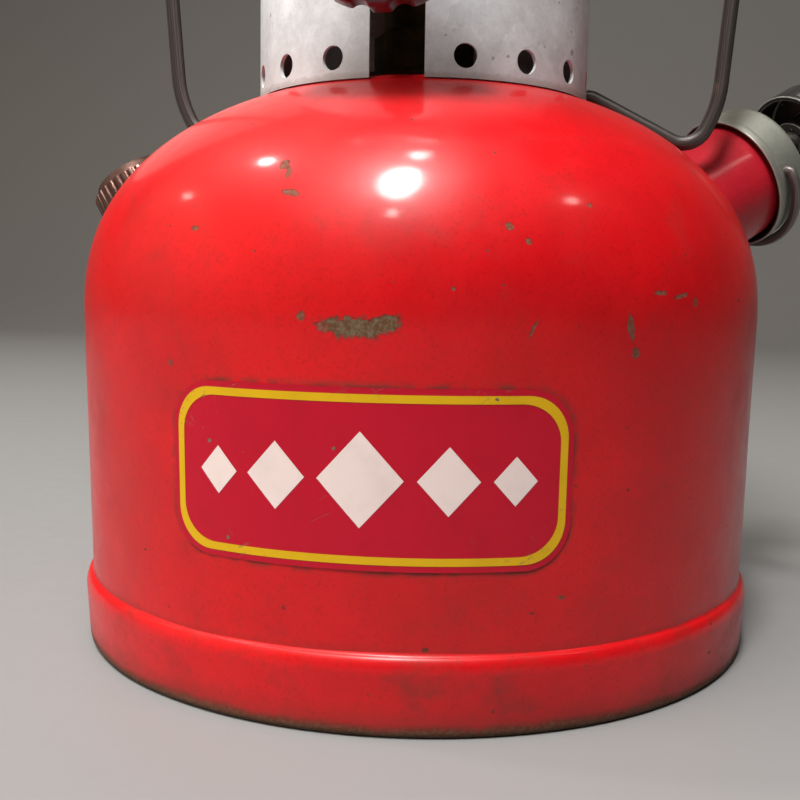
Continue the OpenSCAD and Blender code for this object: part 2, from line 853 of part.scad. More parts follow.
module generator() {
    wall = 1.2;
    hex_h = 3;
    hex_proud = 0.9;
    cone_h = 3;
    cone_step = 0.3;
    jet_r = 0.8;
    jet_wall = 0.8;
    jet_reach = 2;
    tip_z = manifold_z + jet_reach - hex_h - cone_h;
    color("darkgoldenrod")
        translate([0, generator_y, 0])
            difference() {
                union() {
                    translate([0, 0, stub_top_z + seat_gap])
                        cylinder(r = stub_r - 0.5, h = generator_flange_h);
                    translate([0, 0, stub_top_z + seat_gap])
                        cylinder(r = generator_r, h = tip_z - stub_top_z);
                    translate([0, 0, tip_z])
                        cylinder(r = generator_r + hex_proud, h = hex_h, $fn = 6);
                    translate([0, 0, tip_z + hex_h - eps])
                        cylinder(r1 = generator_r - cone_step, r2 = jet_r + jet_wall, h = cone_h);
                }
                translate([0, 0, stub_top_z])
                    cylinder(r = generator_r - wall, h = tip_z - stub_top_z + 1);
                translate([0, 0, tip_z])
                    cylinder(r = jet_r, h = 2 * (hex_h + cone_h));
            }
}

module generator_nut() {
    inner_top = stub_top_z + generator_flange_h + 2 * seat_gap;
    color("darkgoldenrod")
        translate([0, generator_y, 0])
            difference() {
                translate([0, 0, rest_top_z + seat_gap])
                    cylinder(r = nut_hex_r, h = inner_top + nut_top_t - rest_top_z - seat_gap, $fn = 6);
                translate([0, 0, rest_top_z])
                    cylinder(r = stub_r + seat_gap, h = inner_top - rest_top_z);
                translate([0, 0, rest_top_z])
                    cylinder(r = generator_r + seat_gap, h = 3 * stub_h);
            }
}

module collar() {
    color("gainsboro")
        difference() {
            union() {
                tube(collar_r, collar_r - collar_t, collar_foot_z, collar_top_z);
                tube(collar_r, collar_r - collar_flange, collar_top_z - collar_t, collar_top_z);
            }
            for (i = [1:vent_count - 1])
                facing(i * vent_pitch)
                    translate([collar_r - 4, 0, collar_foot_z + vent_rise])
                        rotate([0, 90, 0])
                            cylinder(r = vent_r, h = 8);
            translate([-2 * collar_r, bail_y, bail_hole_z])
                rotate([0, 90, 0])
                    cylinder(r = bail_wire_r + run_fit, h = 4 * collar_r);
            facing(lighting_azimuth)
                translate([collar_r - 4, 0, lighting_z])
                    rotate([0, 90, 0])
                        cylinder(r = lighting_r, h = 8);
            translate([-slot_w / 2, -collar_r - 2, collar_foot_z - 1])
                cube([slot_w, collar_r / 2, stem_z - collar_foot_z + 1]);
            translate([0, -collar_r - 2, stem_z])
                rotate([-90, 0, 0])
                    cylinder(r = slot_w / 2, h = collar_r / 2);
        }
}

module globe_rest() {
    air_hole_r = air_tube_r + seat_gap;
    color("silver")
        difference() {
            union() {
                translate([0, 0, rest_z])
                    cylinder(r = rest_r, h = rest_t);
                tube(rest_r + rest_t, rest_r, rest_z, rest_z + rest_t + rest_rim_h);
            }
            translate([0, generator_y, rest_z - 1])
                cylinder(r = stub_r + seat_gap, h = 3);
            translate([0, -air_tube_y, rest_z - 1])
                cylinder(r = air_hole_r, h = 3);
            facing(lighting_azimuth)
                translate([lighting_reach, 0, rest_z - 1])
                    cylinder(r = lighting_r, h = 3);
        }
}

module burner_frame() {
    foot_l = 9;
    foot_z = rest_top_z + seat_gap;
    color("lightgray") {
        for (side = [-1, 1]) {
            translate([side * post_x - post_t / 2, -post_w / 2, foot_z])
                cube([post_t, post_w, bridge_z + bridge_t - foot_z]);
            translate([side * post_x - (side > 0 ? 0 : foot_l), -post_w / 2, foot_z])
                cube([foot_l, post_w, post_t]);
        }
        translate([-post_x, -post_w / 2, bridge_z])
            cube([2 * post_x, post_w, bridge_t]);
        translate([0, 0, bridge_z])
            cylinder(r = post_w, h = bridge_t);
        translate([0, 0, bridge_z])
            cylinder(r = stud_r, h = stud_top_z - bridge_z);
    }
}

module air_tube() {
    color("lightgray")
        translate([0, -air_tube_y, 0])
            tube(air_tube_r, air_tube_r - manifold_t, rest_z - air_tube_drop, manifold_z - seat_gap);
}

module manifold_outline(inset) {
    for (y = [-air_tube_y, generator_y])
        translate([0, y])
            circle(r = manifold_r - inset);
    translate([-manifold_r + inset, -air_tube_y])
        square([2 * (manifold_r - inset), air_tube_y + generator_y]);
}

module burner_manifold() {
    color("darkgray")
        difference() {
            translate([0, 0, manifold_z])
                linear_extrude(manifold_h)
                    manifold_outline(0);
            translate([0, 0, manifold_z + manifold_t])
                linear_extrude(manifold_h - 2 * manifold_t)
                    manifold_outline(manifold_t);
            translate([0, -air_tube_y, manifold_z - 1])
                cylinder(r = air_tube_r - manifold_t, h = 3);
            translate([0, generator_y, manifold_z - 1])
                cylinder(r = generator_r + 1.2, h = 3);
            translate([0, 0, manifold_z - 1])
                cylinder(r = burner_tube_r - manifold_t, h = 3);
        }
}

module burner_cap() {
    tie_z = cap_foot_z + burner_cap_h / 2;
    color("tan")
        difference() {
            union() {
                translate([0, 0, cap_foot_z + burner_cap_h - eps])
                    cylinder(r = burner_tube_r, h = burner_tube_l - seat_gap + eps);
                translate([0, 0, cap_foot_z])
                    cylinder(r = burner_cap_r, h = burner_cap_h);
            }
            translate([0, 0, cap_foot_z + 1])
                cylinder(r = burner_tube_r - manifold_t, h = burner_cap_h + burner_tube_l);
            for (a = [0:60:300])
                rotate([0, 0, a])
                    translate([burner_tube_r / 2, 0, cap_foot_z - 1])
                        cylinder(r = 1.2, h = 3);
            tube(burner_cap_r + 1, burner_cap_r - tie_groove, tie_z, tie_z + 2);
        }
}

module mantle() {
    outer = [for (i = [0:mantle_steps])
        let (u = i / mantle_steps)
        [mantle_radius(u, 0), mantle_foot_z + u * mantle_h]];
    inner = [for (i = [0:mantle_steps])
        let (u = i / mantle_steps)
        [mantle_radius(u, mantle_t), mantle_foot_z + mantle_t + u * (mantle_h - mantle_t)]];
    color("ivory")
        rotate_extrude()
            polygon(concat(outer, reversed(inner)));
}

module globe() {
    color("lightcyan", 0.4)
        translate([0, 0, globe_z + globe_h / 2])
            rotate_extrude()
                intersection() {
                    difference() {
                        translate([globe_end_r + globe_bulge - globe_arc_r, 0])
                            circle(r = globe_arc_r, $fn = 360);
                        translate([globe_end_r + globe_bulge - globe_arc_r, 0])
                            circle(r = globe_arc_r - glass_t, $fn = 360);
                    }
                    translate([0, -globe_h / 2])
                        square([2 * globe_end_r, globe_h]);
                }
}

module ventilator_base() {
    lip_in = globe_radius(globe_h / 2 - base_lip_h) + rim_gap;
    lip_out = lip_in + base_t;
    slot_h = hood_rise - 12;
    slot_width = 8;
    hole_r = 6;
    color("darkgray")
        difference() {
            rotate_extrude()
                polygon([[chimney_r - base_t, base_plate_z], [lip_in, base_plate_z],
                    [lip_in, base_plate_z - base_lip_h], [lip_out, base_plate_z - base_lip_h],
                    [lip_out, base_plate_z + base_t], [chimney_r, base_plate_z + base_t],
                    [chimney_r, crown_seat_z], [stud_r + seat_gap, crown_seat_z],
                    [stud_r + seat_gap, crown_seat_z - base_t], [chimney_r - base_t, crown_seat_z - base_t]]);
            for (i = [0:chimney_slots - 1])
                rotate([0, 0, (i + 0.5) * 360 / chimney_slots])
                    translate([chimney_r - 4, -slot_width / 2, base_plate_z + 5])
                        cube([8, slot_width, slot_h]);
            for (i = [0:7])
                rotate([0, 0, i * 45])
                    translate([chimney_r * 0.6, 0, crown_seat_z - 3])
                        cylinder(r = hole_r, h = 2 * base_t + 3);
        }
}

module ventilator_hood() {
    flat_r = chimney_r + 1;
    foot = crown_seat_z + seat_gap;
    function curve(a, t) =
        [flat_r + (hood_r - flat_r + t) * sin(a), foot - hood_drop * (1 - cos(a)) + t * cos(a)];
    outer = [for (i = [0:hood_steps]) curve(90 * i / hood_steps, hood_t)];
    inner = [for (i = [0:hood_steps]) curve(90 * i / hood_steps, 0)];
    color("firebrick") {
        rotate_extrude()
            polygon(concat([[stud_r + seat_gap, foot], [stud_r + seat_gap, foot + hood_t]],
                outer, reversed(inner)));
        rotate_extrude()
            translate([hood_r + hood_t / 2, foot - hood_drop])
                circle(r = brim_roll_r);
    }
}

module ball_nut() {
    color("silver")
        difference() {
            translate([0, 0, ball_z])
                sphere(r = ball_r);
            translate([-2 * ball_r, -2 * ball_r, nut_foot_z + seat_gap - 4 * ball_r])
                cube(4 * ball_r);
            translate([0, 0, nut_foot_z - 1])
                cylinder(r = stud_r + seat_gap, h = stud_top_z - nut_foot_z + 1.5);
        }
}

module bail() {
    color("dimgray")
        translate([0, bail_y, 0])
            rotate([90, 0, 0])
                bent_wire(bail_path, bail_bends, bail_wire_r);
}

fount_shell();
fount_bottom();
valve_boss();
filler_neck();
filler_gasket();
filler_cap();
pump_tube();
pump_cap();
pump_clip();
pump_leather();
leather_retainer();
plunger_rod();
pump_knob();
check_valve();
air_stem();
valve_body();
pickup_tube();
valve_stem();
packing_nut();
valve_wheel();
wheel_screw();
cleaning_rod();
generator();
generator_nut();
collar();
globe_rest();
burner_frame();
air_tube();
burner_manifold();
burner_cap();
mantle();
globe();
ventilator_base();
ventilator_hood();
ball_nut();
bail();
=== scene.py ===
"""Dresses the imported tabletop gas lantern.

Chipped red enamel, galvanised sheet, zinc and steel fittings, brass works, a glass globe and a
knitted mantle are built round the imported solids, in metres and in the solids' own frame.
"""

import json
import math

import bmesh
import bpy
from bpy.props import FloatProperty, FloatVectorProperty, IntProperty, PointerProperty
from bpy.types import Operator, Panel, PropertyGroup
from mathutils import Matrix, Vector, noise


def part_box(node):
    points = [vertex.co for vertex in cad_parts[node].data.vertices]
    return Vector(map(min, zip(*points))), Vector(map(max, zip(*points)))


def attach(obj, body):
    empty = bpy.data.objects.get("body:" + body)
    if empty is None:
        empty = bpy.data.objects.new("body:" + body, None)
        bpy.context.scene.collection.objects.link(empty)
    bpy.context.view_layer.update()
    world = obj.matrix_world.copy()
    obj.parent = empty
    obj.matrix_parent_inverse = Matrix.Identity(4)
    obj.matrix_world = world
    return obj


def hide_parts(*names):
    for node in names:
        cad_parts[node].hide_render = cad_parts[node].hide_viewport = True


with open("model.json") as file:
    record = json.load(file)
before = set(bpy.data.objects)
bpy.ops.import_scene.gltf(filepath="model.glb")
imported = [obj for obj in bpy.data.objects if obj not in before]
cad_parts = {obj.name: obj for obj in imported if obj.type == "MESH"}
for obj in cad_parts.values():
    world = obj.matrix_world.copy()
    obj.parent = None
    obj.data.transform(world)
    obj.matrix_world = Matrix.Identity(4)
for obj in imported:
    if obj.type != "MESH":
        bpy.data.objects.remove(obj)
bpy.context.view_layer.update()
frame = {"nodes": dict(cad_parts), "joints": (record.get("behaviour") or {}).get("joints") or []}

bl_info = {
    "name": "Gas lantern",
    "version": (1, 0, 0),
    "blender": (4, 5, 0),
    "location": "3D View > Sidebar > Lantern",
    "description": "Builds the finished pieces of a tabletop gas lantern round its packed solids",
    "category": "Object",
}

IMAGE_SIDE = 800
SENSOR_MM = 36.0
MM = 0.001
JOINTS = {joint["name"]: joint for joint in frame["joints"]}


# Sizes and colours

def low(node):
    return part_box(node)[0]


def high(node):
    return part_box(node)[1]


def length(name, text, default):
    return FloatProperty(name=name, description=text, default=default, precision=5, unit="LENGTH")


def number(name, text, default):
    return FloatProperty(name=name, description=text, default=default)


def turn(name, text, degrees):
    return FloatProperty(name=name, description=text, default=math.radians(degrees), subtype="ANGLE")


def tint(name, text, default):
    return FloatVectorProperty(
        name=name, description=text, default=default, size=3, min=0.0, max=1.0, subtype="COLOR"
    )


class FountSizes(PropertyGroup):
    """The pressed fount and its rolled skirt."""

    radius: length("Radius", "Radius at the shoulder", high("fount_shell").x)
    shoulder: length("Shoulder", "Height where the wall turns into the dome", 0.0718)
    dome_rise: length("Dome rise", "Height of the crown above the shoulder", 0.0507)
    fullness: number("Fullness", "2 is an ellipse, more is squarer", 2.2)
    draw: length("Draw", "How far the wall draws in down to the skirt", 0.00115)
    sheet: length("Sheet", "Thickness of the pressed sheet", 0.0009)
    crown_hole: length("Crown hole", "Radius of the hole for the valve boss", 0.0111)
    skirt_top: length("Skirt top", "Height of the rolled skirt", 0.0145)
    skirt_wide: length("Skirt wide", "Height of the skirt's widest line", 0.0115)
    skirt_radius: length("Skirt radius", "Radius at the widest line", high("fount_bottom").x)
    foot_inset: length("Foot inset", "How far the standing edge lies inside the widest line", 0.0007)
    foot_width: length("Foot width", "Width of the standing edge", 0.0036)
    foot_round: length("Foot round", "Radius under the standing edge", 0.0016)
    flare: length("Flare", "Height where the wall starts to turn out into the skirt", 0.0158)
    pan: length("Pan", "Height of the recessed pan", 0.009)
    dent: length("Dents", "Depth of the shallow dents in the sheet", 0.00022)


class LabelSizes(PropertyGroup):
    """The plain printed label on the front of the fount."""

    width: length("Width", "Width round the wall", 0.074)
    height: length("Height", "Height of the label", 0.0312)
    corner: length("Corner", "Corner radius", 0.0085)
    across: length("Across", "Distance of its middle from the front, round the wall", 0.0013)
    middle: length("Middle", "Height of its middle", 0.0449)
    margin: length("Margin", "Plain margin outside the key line", 0.0011)
    keyline: length("Key line", "Width of the key line", 0.0014)
    lozenge_width: length("Lozenge width", "Width of the middle lozenge", 0.0150)
    lozenge_height: length("Lozenge height", "Height of the middle lozenge", 0.0165)
    lozenges: IntProperty(name="Lozenges", description="Lozenges on each side of the middle one", default=2)
    lift: length("Lift", "Thickness of one printed layer", 0.00005)


class FittingSizes(PropertyGroup):
    """Pump, filler, valve wheel, globe, ventilator and bail."""

    barrel: length("Barrel", "Radius of the pump barrel", 0.0143)
    cap_foot: length("Cap foot", "Lower edge of the pump cap, along the pump from the dome", 0.012)
    cap_top: length("Cap top", "Top of the pump cap", 0.0219)
    cap_radius: length("Cap radius", "Radius of the pump cap", 0.0161)
    rod: length("Rod", "Radius of the plunger rod", 0.004)
    knob_foot: length("Knob foot", "Lower edge of the pump knob", 0.0357)
    knob_top: length("Knob top", "Top of the pump knob", 0.0447)
    knob_radius: length("Knob radius", "Radius of the pump knob", 0.013)
    thumb_hole: length("Thumb hole", "Radius of the hole in the knob", 0.0035)
    clip_level: length("Clip level", "Place of the clip along the pump", 0.016)
    clip_radius: length("Clip radius", "Bend radius of the clip", 0.0173)
    clip_wire: length("Clip wire", "Radius of the clip's wire", 0.0011)
    clip_half: turn("Clip half turn", "Half the angle that the clip goes round", 92)
    neck: length("Neck", "Radius of the filler neck", 0.0088)
    stem: length("Stem height", "Height of the valve stem", 0.145)
    wheel_back: length("Wheel back", "Distance of the wheel's back from the lantern's axis", 0.0498)
    wheel_thickness: length("Wheel thickness", "Thickness of the valve wheel", 0.008)
    wheel_radius: length("Wheel radius", "Radius of the valve wheel", high("valve_wheel").x)
    scallops: IntProperty(name="Scallops", description="Finger scallops round the wheel", default=16)
    scallop: length("Scallop", "Radius of a finger scallop", 0.0024)
    globe_end: length("Globe end", "Radius of the globe's ends", 0.0395)
    globe_bulge: length("Globe bulge", "How far the globe swells beyond its ends", 0.0095)
    glass: length("Glass", "Thickness of the glass", 0.002)
    hood_flat: length("Hood flat", "Radius of the flat crown of the ventilator", 0.031)
    hood_radius: length("Hood radius", "Radius of the ventilator's brim", 0.066)
    hood_drop: length("Hood drop", "Drop from the crown to the brim", 0.016)
    hood_sheet: length("Hood sheet", "Thickness of the ventilator's sheet", 0.001)
    brim_roll: length("Brim roll", "Radius of the rolled brim", 0.0014)
    ball: length("Ball", "Radius of the ball nut", 0.0075)
    mantle_radius: length("Mantle radius", "Widest radius of the mantle", high("mantle").x)
    mantle_neck: length("Mantle neck", "Radius of the mantle where it is tied", 0.0089)
    mantle_belly: number("Belly", "Where the mantle is widest, as a share of its height", 0.42)
    bail_wire: length("Bail wire", "Radius of the bail's wire", 0.00165)
    bail_end: length("Bail end", "Distance of the wire's ends from the lantern's axis", 0.034)
    bail_elbow: length("Bail elbow", "Where the wire leaves the collar and turns down", 0.0379547)
    bail_slope: number("Bail slope", "Slope of the wire along the dome", -0.536685)
    bail_low: length("Bail low", "Distance of the lower bends", 0.0578)
    bail_set: length("Bail set", "Sideways set of the wire, to the right", 0.003)
    bail_knee_out: length("Bail knee out", "From the lower bend out to the knee", 0.0051)
    bail_knee_rise: length("Bail knee rise", "From the lower bend up to the knee", 0.010)
    bail_spread: length("Bail spread", "How far the legs spread up to the top", 0.0228)


class LanternColours(PropertyGroup):
    """Colours of the finishes."""

    red: tint("Red enamel", "Fount and ventilator", (0.60, 0.004, 0.007))
    deep_red: tint("Deep red", "The enamel's darker tone", (0.47, 0.003, 0.006))
    crimson: tint("Crimson enamel", "Pump barrel", (0.50, 0.011, 0.024))
    maroon: tint("Maroon", "Valve wheel", (0.06, 0.005, 0.010))
    primer: tint("Bare spot", "Worn metal under the enamel", (0.16, 0.115, 0.075))
    rust: tint("Rust", "Rust in the bare spots", (0.10, 0.045, 0.018))
    dirt: tint("Dirt", "Dirt in the seams", (0.055, 0.032, 0.022))
    field: tint("Label field", "Ground of the label", (0.45, 0.002, 0.018))
    yellow: tint("Key line", "Key line of the label", (0.64, 0.38, 0.004))
    cream: tint("Cream", "Lozenges of the label", (0.78, 0.64, 0.61))
    galvanised: tint("Galvanised", "Collar and burner sheet", (0.88, 0.93, 0.96))
    zinc: tint("Zinc", "Pump cap", (0.47, 0.48, 0.42))
    steel: tint("Wire", "Bail and clip", (0.10, 0.09, 0.085))
    nickel: tint("Nickel", "Rod, screw and ball nut", (0.55, 0.52, 0.47))
    brass: tint("Brass", "Valve and burner fittings", (0.50, 0.33, 0.11))
    # The knob's near-black is painted shade of its shaded side.
    knob: tint("Knob", "Dark finish of the pump knob", (0.022, 0.021, 0.021))
    ceramic: tint("Ceramic", "Burner cap", (0.60, 0.50, 0.38))
    mantle: tint("Mantle cloth", "Knitted mantle", (0.86, 0.84, 0.77))
    leather: tint("Leather", "Pump leather", (0.20, 0.10, 0.04))
    rubber: tint("Rubber", "Filler gasket", (0.025, 0.025, 0.025))
    glass: tint("Glass", "Globe", (0.93, 0.97, 0.96))
    floor: tint("Floor", "Pale floor", (0.22, 0.22, 0.22))


class StageSizes(PropertyGroup):
    """Camera and light."""

    azimuth: turn("Azimuth", "Side that the camera stands on, from the front", 8.3)
    distance: length("Distance", "Distance of the camera from the lantern's axis", 0.24973)
    height: length("Height", "Height of the camera", 0.07775)
    pitch: turn("Pitch", "How far the camera looks down", 6.25)
    yaw: turn("Yaw", "How far the camera looks aside", -0.951)
    roll: turn("Roll", "How far the camera is tilted", 0.917)
    focal: number("Focal", "Focal length in pixels of the image", 1066.4)
    sky: number("Sky", "Strength of the light all round, which comes from the upper left", 0.5)


# Mesh making

# The most of a side that a rounded corner takes, the radius that counts as none, and how solids are eased
EDGE_SHARE = 0.48
ON_AXIS = 1e-7
WELD_REACH = 0.000004
BEVEL_ANGLE = math.radians(35)


def eased(corners, steps=5):
    """Profile points (radius, height, rim), with every corner rounded to its own radius."""
    points = []
    for i, (radius, height, fillet) in enumerate(corners):
        here = Vector((radius, height))
        back = Vector(corners[i - 1][:2]) - here
        ahead = Vector(corners[(i + 1) % len(corners)][:2]) - here
        if fillet <= 0 or back.length == 0 or ahead.length == 0:
            points.append((radius, height, 0.0))
            continue
        half = back.angle(ahead) / 2
        cut = min(fillet / math.tan(half), EDGE_SHARE * back.length, EDGE_SHARE * ahead.length)
        start, end = here + back.normalized() * cut, here + ahead.normalized() * cut
        for k in range(steps + 1):
            t = k / steps
            at = start * (1 - t) ** 2 + here * (2 * t * (1 - t)) + end * t ** 2
            points.append((at.x, at.y, 4 * t * (1 - t)))
    return points


def bowed(first, pull, last, t):
    """The point at share t of a curve from first to last, drawn towards pull."""
    a, b, c = (1 - t) ** 2, 2 * t * (1 - t), t ** 2
    return a * first[0] + b * pull[0] + c * last[0], a * first[1] + b * pull[1] + c * last[1]


def spun(spin, radius, height):
    """The point at a turn, a radius and a height about Z."""
    return Vector((radius * math.cos(spin), radius * math.sin(spin), height))


def finish_mesh(name, verts, faces, rims=None, uvs=None, sharp=40):
    """A smooth mesh with its faces turned outwards, sharp where they meet steeply."""
    mesh = bpy.data.meshes.new(name)
    mesh.from_pydata(verts, [], faces)
    if uvs:
        layer = mesh.uv_layers.new(name="turned")
        for loop_uv, uv in zip(layer.data, uvs):
            loop_uv.uv = uv
    worn = mesh.attributes.new("rim", "FLOAT", "POINT")
    if rims:
        worn.data.foreach_set("value", rims)
    shaped = bmesh.new()
    shaped.from_mesh(mesh)
    bmesh.ops.recalc_face_normals(shaped, faces=shaped.faces)
    shaped.to_mesh(mesh)
    shaped.free()
    mesh.polygons.foreach_set("use_smooth", [True] * len(mesh.polygons))
    mesh.set_sharp_from_angle(angle=math.radians(sharp))
    return mesh


def lathe(name, profile, seat=Matrix(), steps=128, shape=None, closed=True, skip=None):
    """A turned mesh: profile points (radius, height, rim) spun about the seat's own Z."""
    verts, rims, rings, run = [], [], [], [0.0]
    for i, (radius, height, rim) in enumerate(profile):
        if i:
            run.append(run[-1] + math.dist(profile[i - 1][:2], (radius, height)))
        count = 1 if radius < ON_AXIS else steps
        rings.append([len(verts) + (k if count > 1 else 0) for k in range(steps)])
        for k in range(count):
            spin = 2 * math.pi * k / steps
            r, z = shape(spin, radius, height) if shape else (radius, height)
            verts.append(seat @ spun(spin, r, z))
            rims.append(rim)
    faces, uvs = [], []
    pairs = list(zip(range(len(rings) - 1), range(1, len(rings))))
    if closed and not (profile[0][0] < ON_AXIS and profile[-1][0] < ON_AXIS):
        pairs.append((len(rings) - 1, 0))
    for a, b in pairs:
        va, vb = run[a] / run[-1], run[b] / run[-1] if b else 1.0
        for k in range(steps):
            n = (k + 1) % steps
            corners = [(rings[a][k], k, va), (rings[a][n], k + 1, va),
                       (rings[b][n], k + 1, vb), (rings[b][k], k, vb)]
            seen = [c for i, c in enumerate(corners) if c[0] not in [d[0] for d in corners[:i]]]
            if len(seen) < 3 or (skip and all(skip(verts[c[0]]) for c in seen)):
                continue
            faces.append([c[0] for c in seen])
            uvs.extend((c[1] / steps, c[2]) for c in seen)
    return finish_mesh(name, verts, faces, rims, uvs)


def bent(corners, bends, step=math.radians(4)):
    """Points along a flat path whose corners are bent to their own radii."""
    points = [Vector(corners[0])]
    for i in range(1, len(corners) - 1):
        here = Vector(corners[i])
        back, ahead = (Vector(corners[i - 1]) - here), (Vector(corners[i + 1]) - here)
        half = back.angle(ahead) / 2
        sweep = math.pi - 2 * half
        start = here + back.normalized() * bends[i] / math.tan(half)
        centre = here + (back.normalized() + ahead.normalized()).normalized() * bends[i] / math.sin(half)
        arm = start - centre
        side = 1 if back.x * ahead.y - back.y * ahead.x < 0 else -1
        count = max(4, math.ceil(sweep / step))
        for k in range(count + 1):
            a = side * sweep * k / count
            points.append(centre + Vector((arm.x * math.cos(a) - arm.y * math.sin(a),
                                           arm.x * math.sin(a) + arm.y * math.cos(a))))
    points.append(Vector(corners[-1]))
    return points


def wire(name, path, radius, sides=20, ring=False):
    """A round wire along a path, with softly rounded ends unless it is a ring."""
    count = len(path)
    ways = [(path[(i + 1) % count if ring else min(i + 1, count - 1)]
             - path[i - 1 if ring else max(i - 1, 0)]).normalized() for i in range(count)]
    across = ways[0].orthogonal().normalized()
    stations = []
    for i, way in enumerate(ways):
        across = (across - way * across.dot(way)).normalized()
        stations.append((path[i], way, across.copy(), radius))
    if not ring:
        for end, sign in ((0, -1), (-1, 1)):
            at, way, side, r = stations[end]
            for share in (0.35, 0.75, 0.95):
                tip = (at + sign * way * r * share * 0.5, way, side, r * math.sqrt(1 - share * share))
                stations.insert(0 if end == 0 else len(stations), tip)
    verts, faces, uvs = [], [], []
    for at, way, side, r in stations:
        other = way.cross(side)
        for k in range(sides):
            spin = 2 * math.pi * k / sides
            verts.append(at + (side * math.cos(spin) + other * math.sin(spin)) * r)
    rows = len(stations)
    for i in range(rows if ring else rows - 1):
        j = (i + 1) % rows
        for k in range(sides):
            n = (k + 1) % sides
            faces.append([i * sides + k, i * sides + n, j * sides + n, j * sides + k])
            uvs.extend(((k / sides, i / rows), ((k + 1) / sides, i / rows),
                        ((k + 1) / sides, (i + 1) / rows), (k / sides, (i + 1) / rows)))
    if not ring:
        for face in (list(range(sides)), list(range((rows - 1) * sides, rows * sides))):
            faces.append(face)
            uvs.extend([(0.0, 0.0)] * sides)
    return finish_mesh(name, verts, faces, uvs=uvs, sharp=60)


def add_piece(mesh, material, body, slot, *nodes):
    """A piece that rides on a body, takes the given finish and stands for the nodes, which it hides. The slot
    is not used.
    """
    piece = bpy.data.objects.new(mesh.name, mesh)
    bpy.context.scene.collection.objects.link(piece)
    piece.data.materials.append(material)
    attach(piece, body)
    if nodes:
        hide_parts(*nodes)
    return piece


def dress(material, *names, soften=0.0):
    """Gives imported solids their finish, and eases their sharp edges where that shows."""
    for name in names:
        node = frame["nodes"][name]
        node.data.materials.clear()
        node.data.materials.append(material)
        if soften:
            weld = node.modifiers.new("one skin", "WELD")
            weld.merge_threshold = WELD_REACH
            bevel = node.modifiers.new("eased edges", "BEVEL")
            bevel.limit_method = "ANGLE"
            bevel.angle_limit = BEVEL_ANGLE
            bevel.width = soften
            bevel.segments = 2


def axis_seat(joint):
    """A seat whose Z runs along a joint's axis and whose X points down."""
    axis = Vector(joint["axis"]).normalized()
    down = (Vector((0, 0, -1)) + axis * axis.z).normalized()
    seat = Matrix((down, axis.cross(down), axis)).transposed().to_4x4()
    return Matrix.Translation(Vector(joint["pos_m"])) @ seat


def stem_seat(sizes):
    """A seat whose Z runs forwards along the valve stem."""
    turned = Matrix(((1, 0, 0), (0, 0, -1), (0, 1, 0))).to_4x4()
    return Matrix.Translation((0, 0, sizes.stem)) @ turned


def wall_radius(fount, height):
    """Outer radius of the fount at a height."""
    if height <= fount.shoulder:
        run = (fount.shoulder - height) / (fount.shoulder - fount.skirt_top)
        return fount.radius - fount.draw * run
    rise = min(1.0, (height - fount.shoulder) / fount.dome_rise)
    return fount.radius * (1 - rise ** fount.fullness) ** (1 / fount.fullness)


def on_wall(fount, across, height, lift):
    """The point of the fount's wall at a distance round from the front, lifted off the enamel."""
    radius, spin = wall_radius(fount, height) + lift, across / fount.radius
    return Vector((radius * math.sin(spin), -radius * math.cos(spin), height))


# Shader making

def feed(tree, socket, value):
    """Links a socket to another socket or to a node's first output, or sets it to a plain value."""
    if isinstance(value, bpy.types.Node):
        value = value.outputs[0]
    if isinstance(value, bpy.types.NodeSocket):
        tree.links.new(value, socket)
    elif hasattr(value, "__len__") and socket.type == "RGBA":
        socket.default_value = (*value, 1.0)[:4]
    else:
        socket.default_value = value


def feed_all(tree, node, inputs):
    """Feeds a node's inputs by their names or numbers."""
    for key, value in inputs.items():
        feed(tree, node.inputs[key], value)
    return node


def add_node(tree, kind, inputs=None, **settings):
    """A shader node with its settings and inputs, each a value, a socket or a node."""
    made = tree.nodes.new("ShaderNode" + kind)
    for key, value in settings.items():
        setattr(made, key, value)
    return feed_all(tree, made, inputs or {})


def sums(tree, operation, *values):
    return add_node(tree, "Math", dict(enumerate(values)), operation=operation).outputs[0]


def times(tree, first, second):
    return sums(tree, "MULTIPLY", first, second)


def plus(tree, first, second):
    return sums(tree, "ADD", first, second)


def minus(tree, first, second):
    return sums(tree, "SUBTRACT", first, second)


def highest(tree, values):
    top = values[0]
    for value in values[1:]:
        top = sums(tree, "MAXIMUM", top, value)
    return top


def vector_sums(tree, operation, *values):
    made = add_node(tree, "VectorMath", dict(enumerate(values)), operation=operation)
    return made.outputs["Value" if operation in ("LENGTH", "DOT_PRODUCT") else "Vector"]


def fade(tree, value, start, end):
    """0 before start and 1 after end, or the other way round where end lies before start."""
    flip = not isinstance(start, bpy.types.NodeSocket) and start > end
    low_end, high_end = (end, start) if flip else (start, end)
    return add_node(tree, "MapRange", {"Value": value, "From Min": low_end, "From Max": high_end,
                                       "To Min": 1.0 if flip else 0.0, "To Max": 0.0 if flip else 1.0},
                    interpolation_type="SMOOTHSTEP").outputs[0]


def span(tree, value, least, most):
    """A value from 0 to 1 spread between two others."""
    return add_node(tree, "MapRange", {"Value": value, "To Min": least, "To Max": most}).outputs[0]


def mix(tree, share, first, second):
    return add_node(tree, "Mix", {0: share, 6: first, 7: second}, data_type="RGBA").outputs[2]


def toned(colour, share):
    """A colour made darker, or lighter with a share above 1."""
    return [part * share for part in colour]


def cloud(tree, place, scale, detail=4.0, rough=0.55, distortion=0.0):
    return add_node(tree, "TexNoise", {"Vector": place, "Scale": scale, "Detail": detail,
                                       "Roughness": rough, "Distortion": distortion}).outputs[0]


def wander(tree, place, scale, detail, far, rough=0.5):
    """A shift that strays by up to half of far along each axis."""
    made = add_node(tree, "TexNoise", {"Vector": place, "Scale": scale, "Detail": detail, "Roughness": rough})
    stray = vector_sums(tree, "SUBTRACT", made.outputs["Color"], (0.5, 0.5, 0.5))
    return vector_sums(tree, "MULTIPLY", stray, (far, far, far))


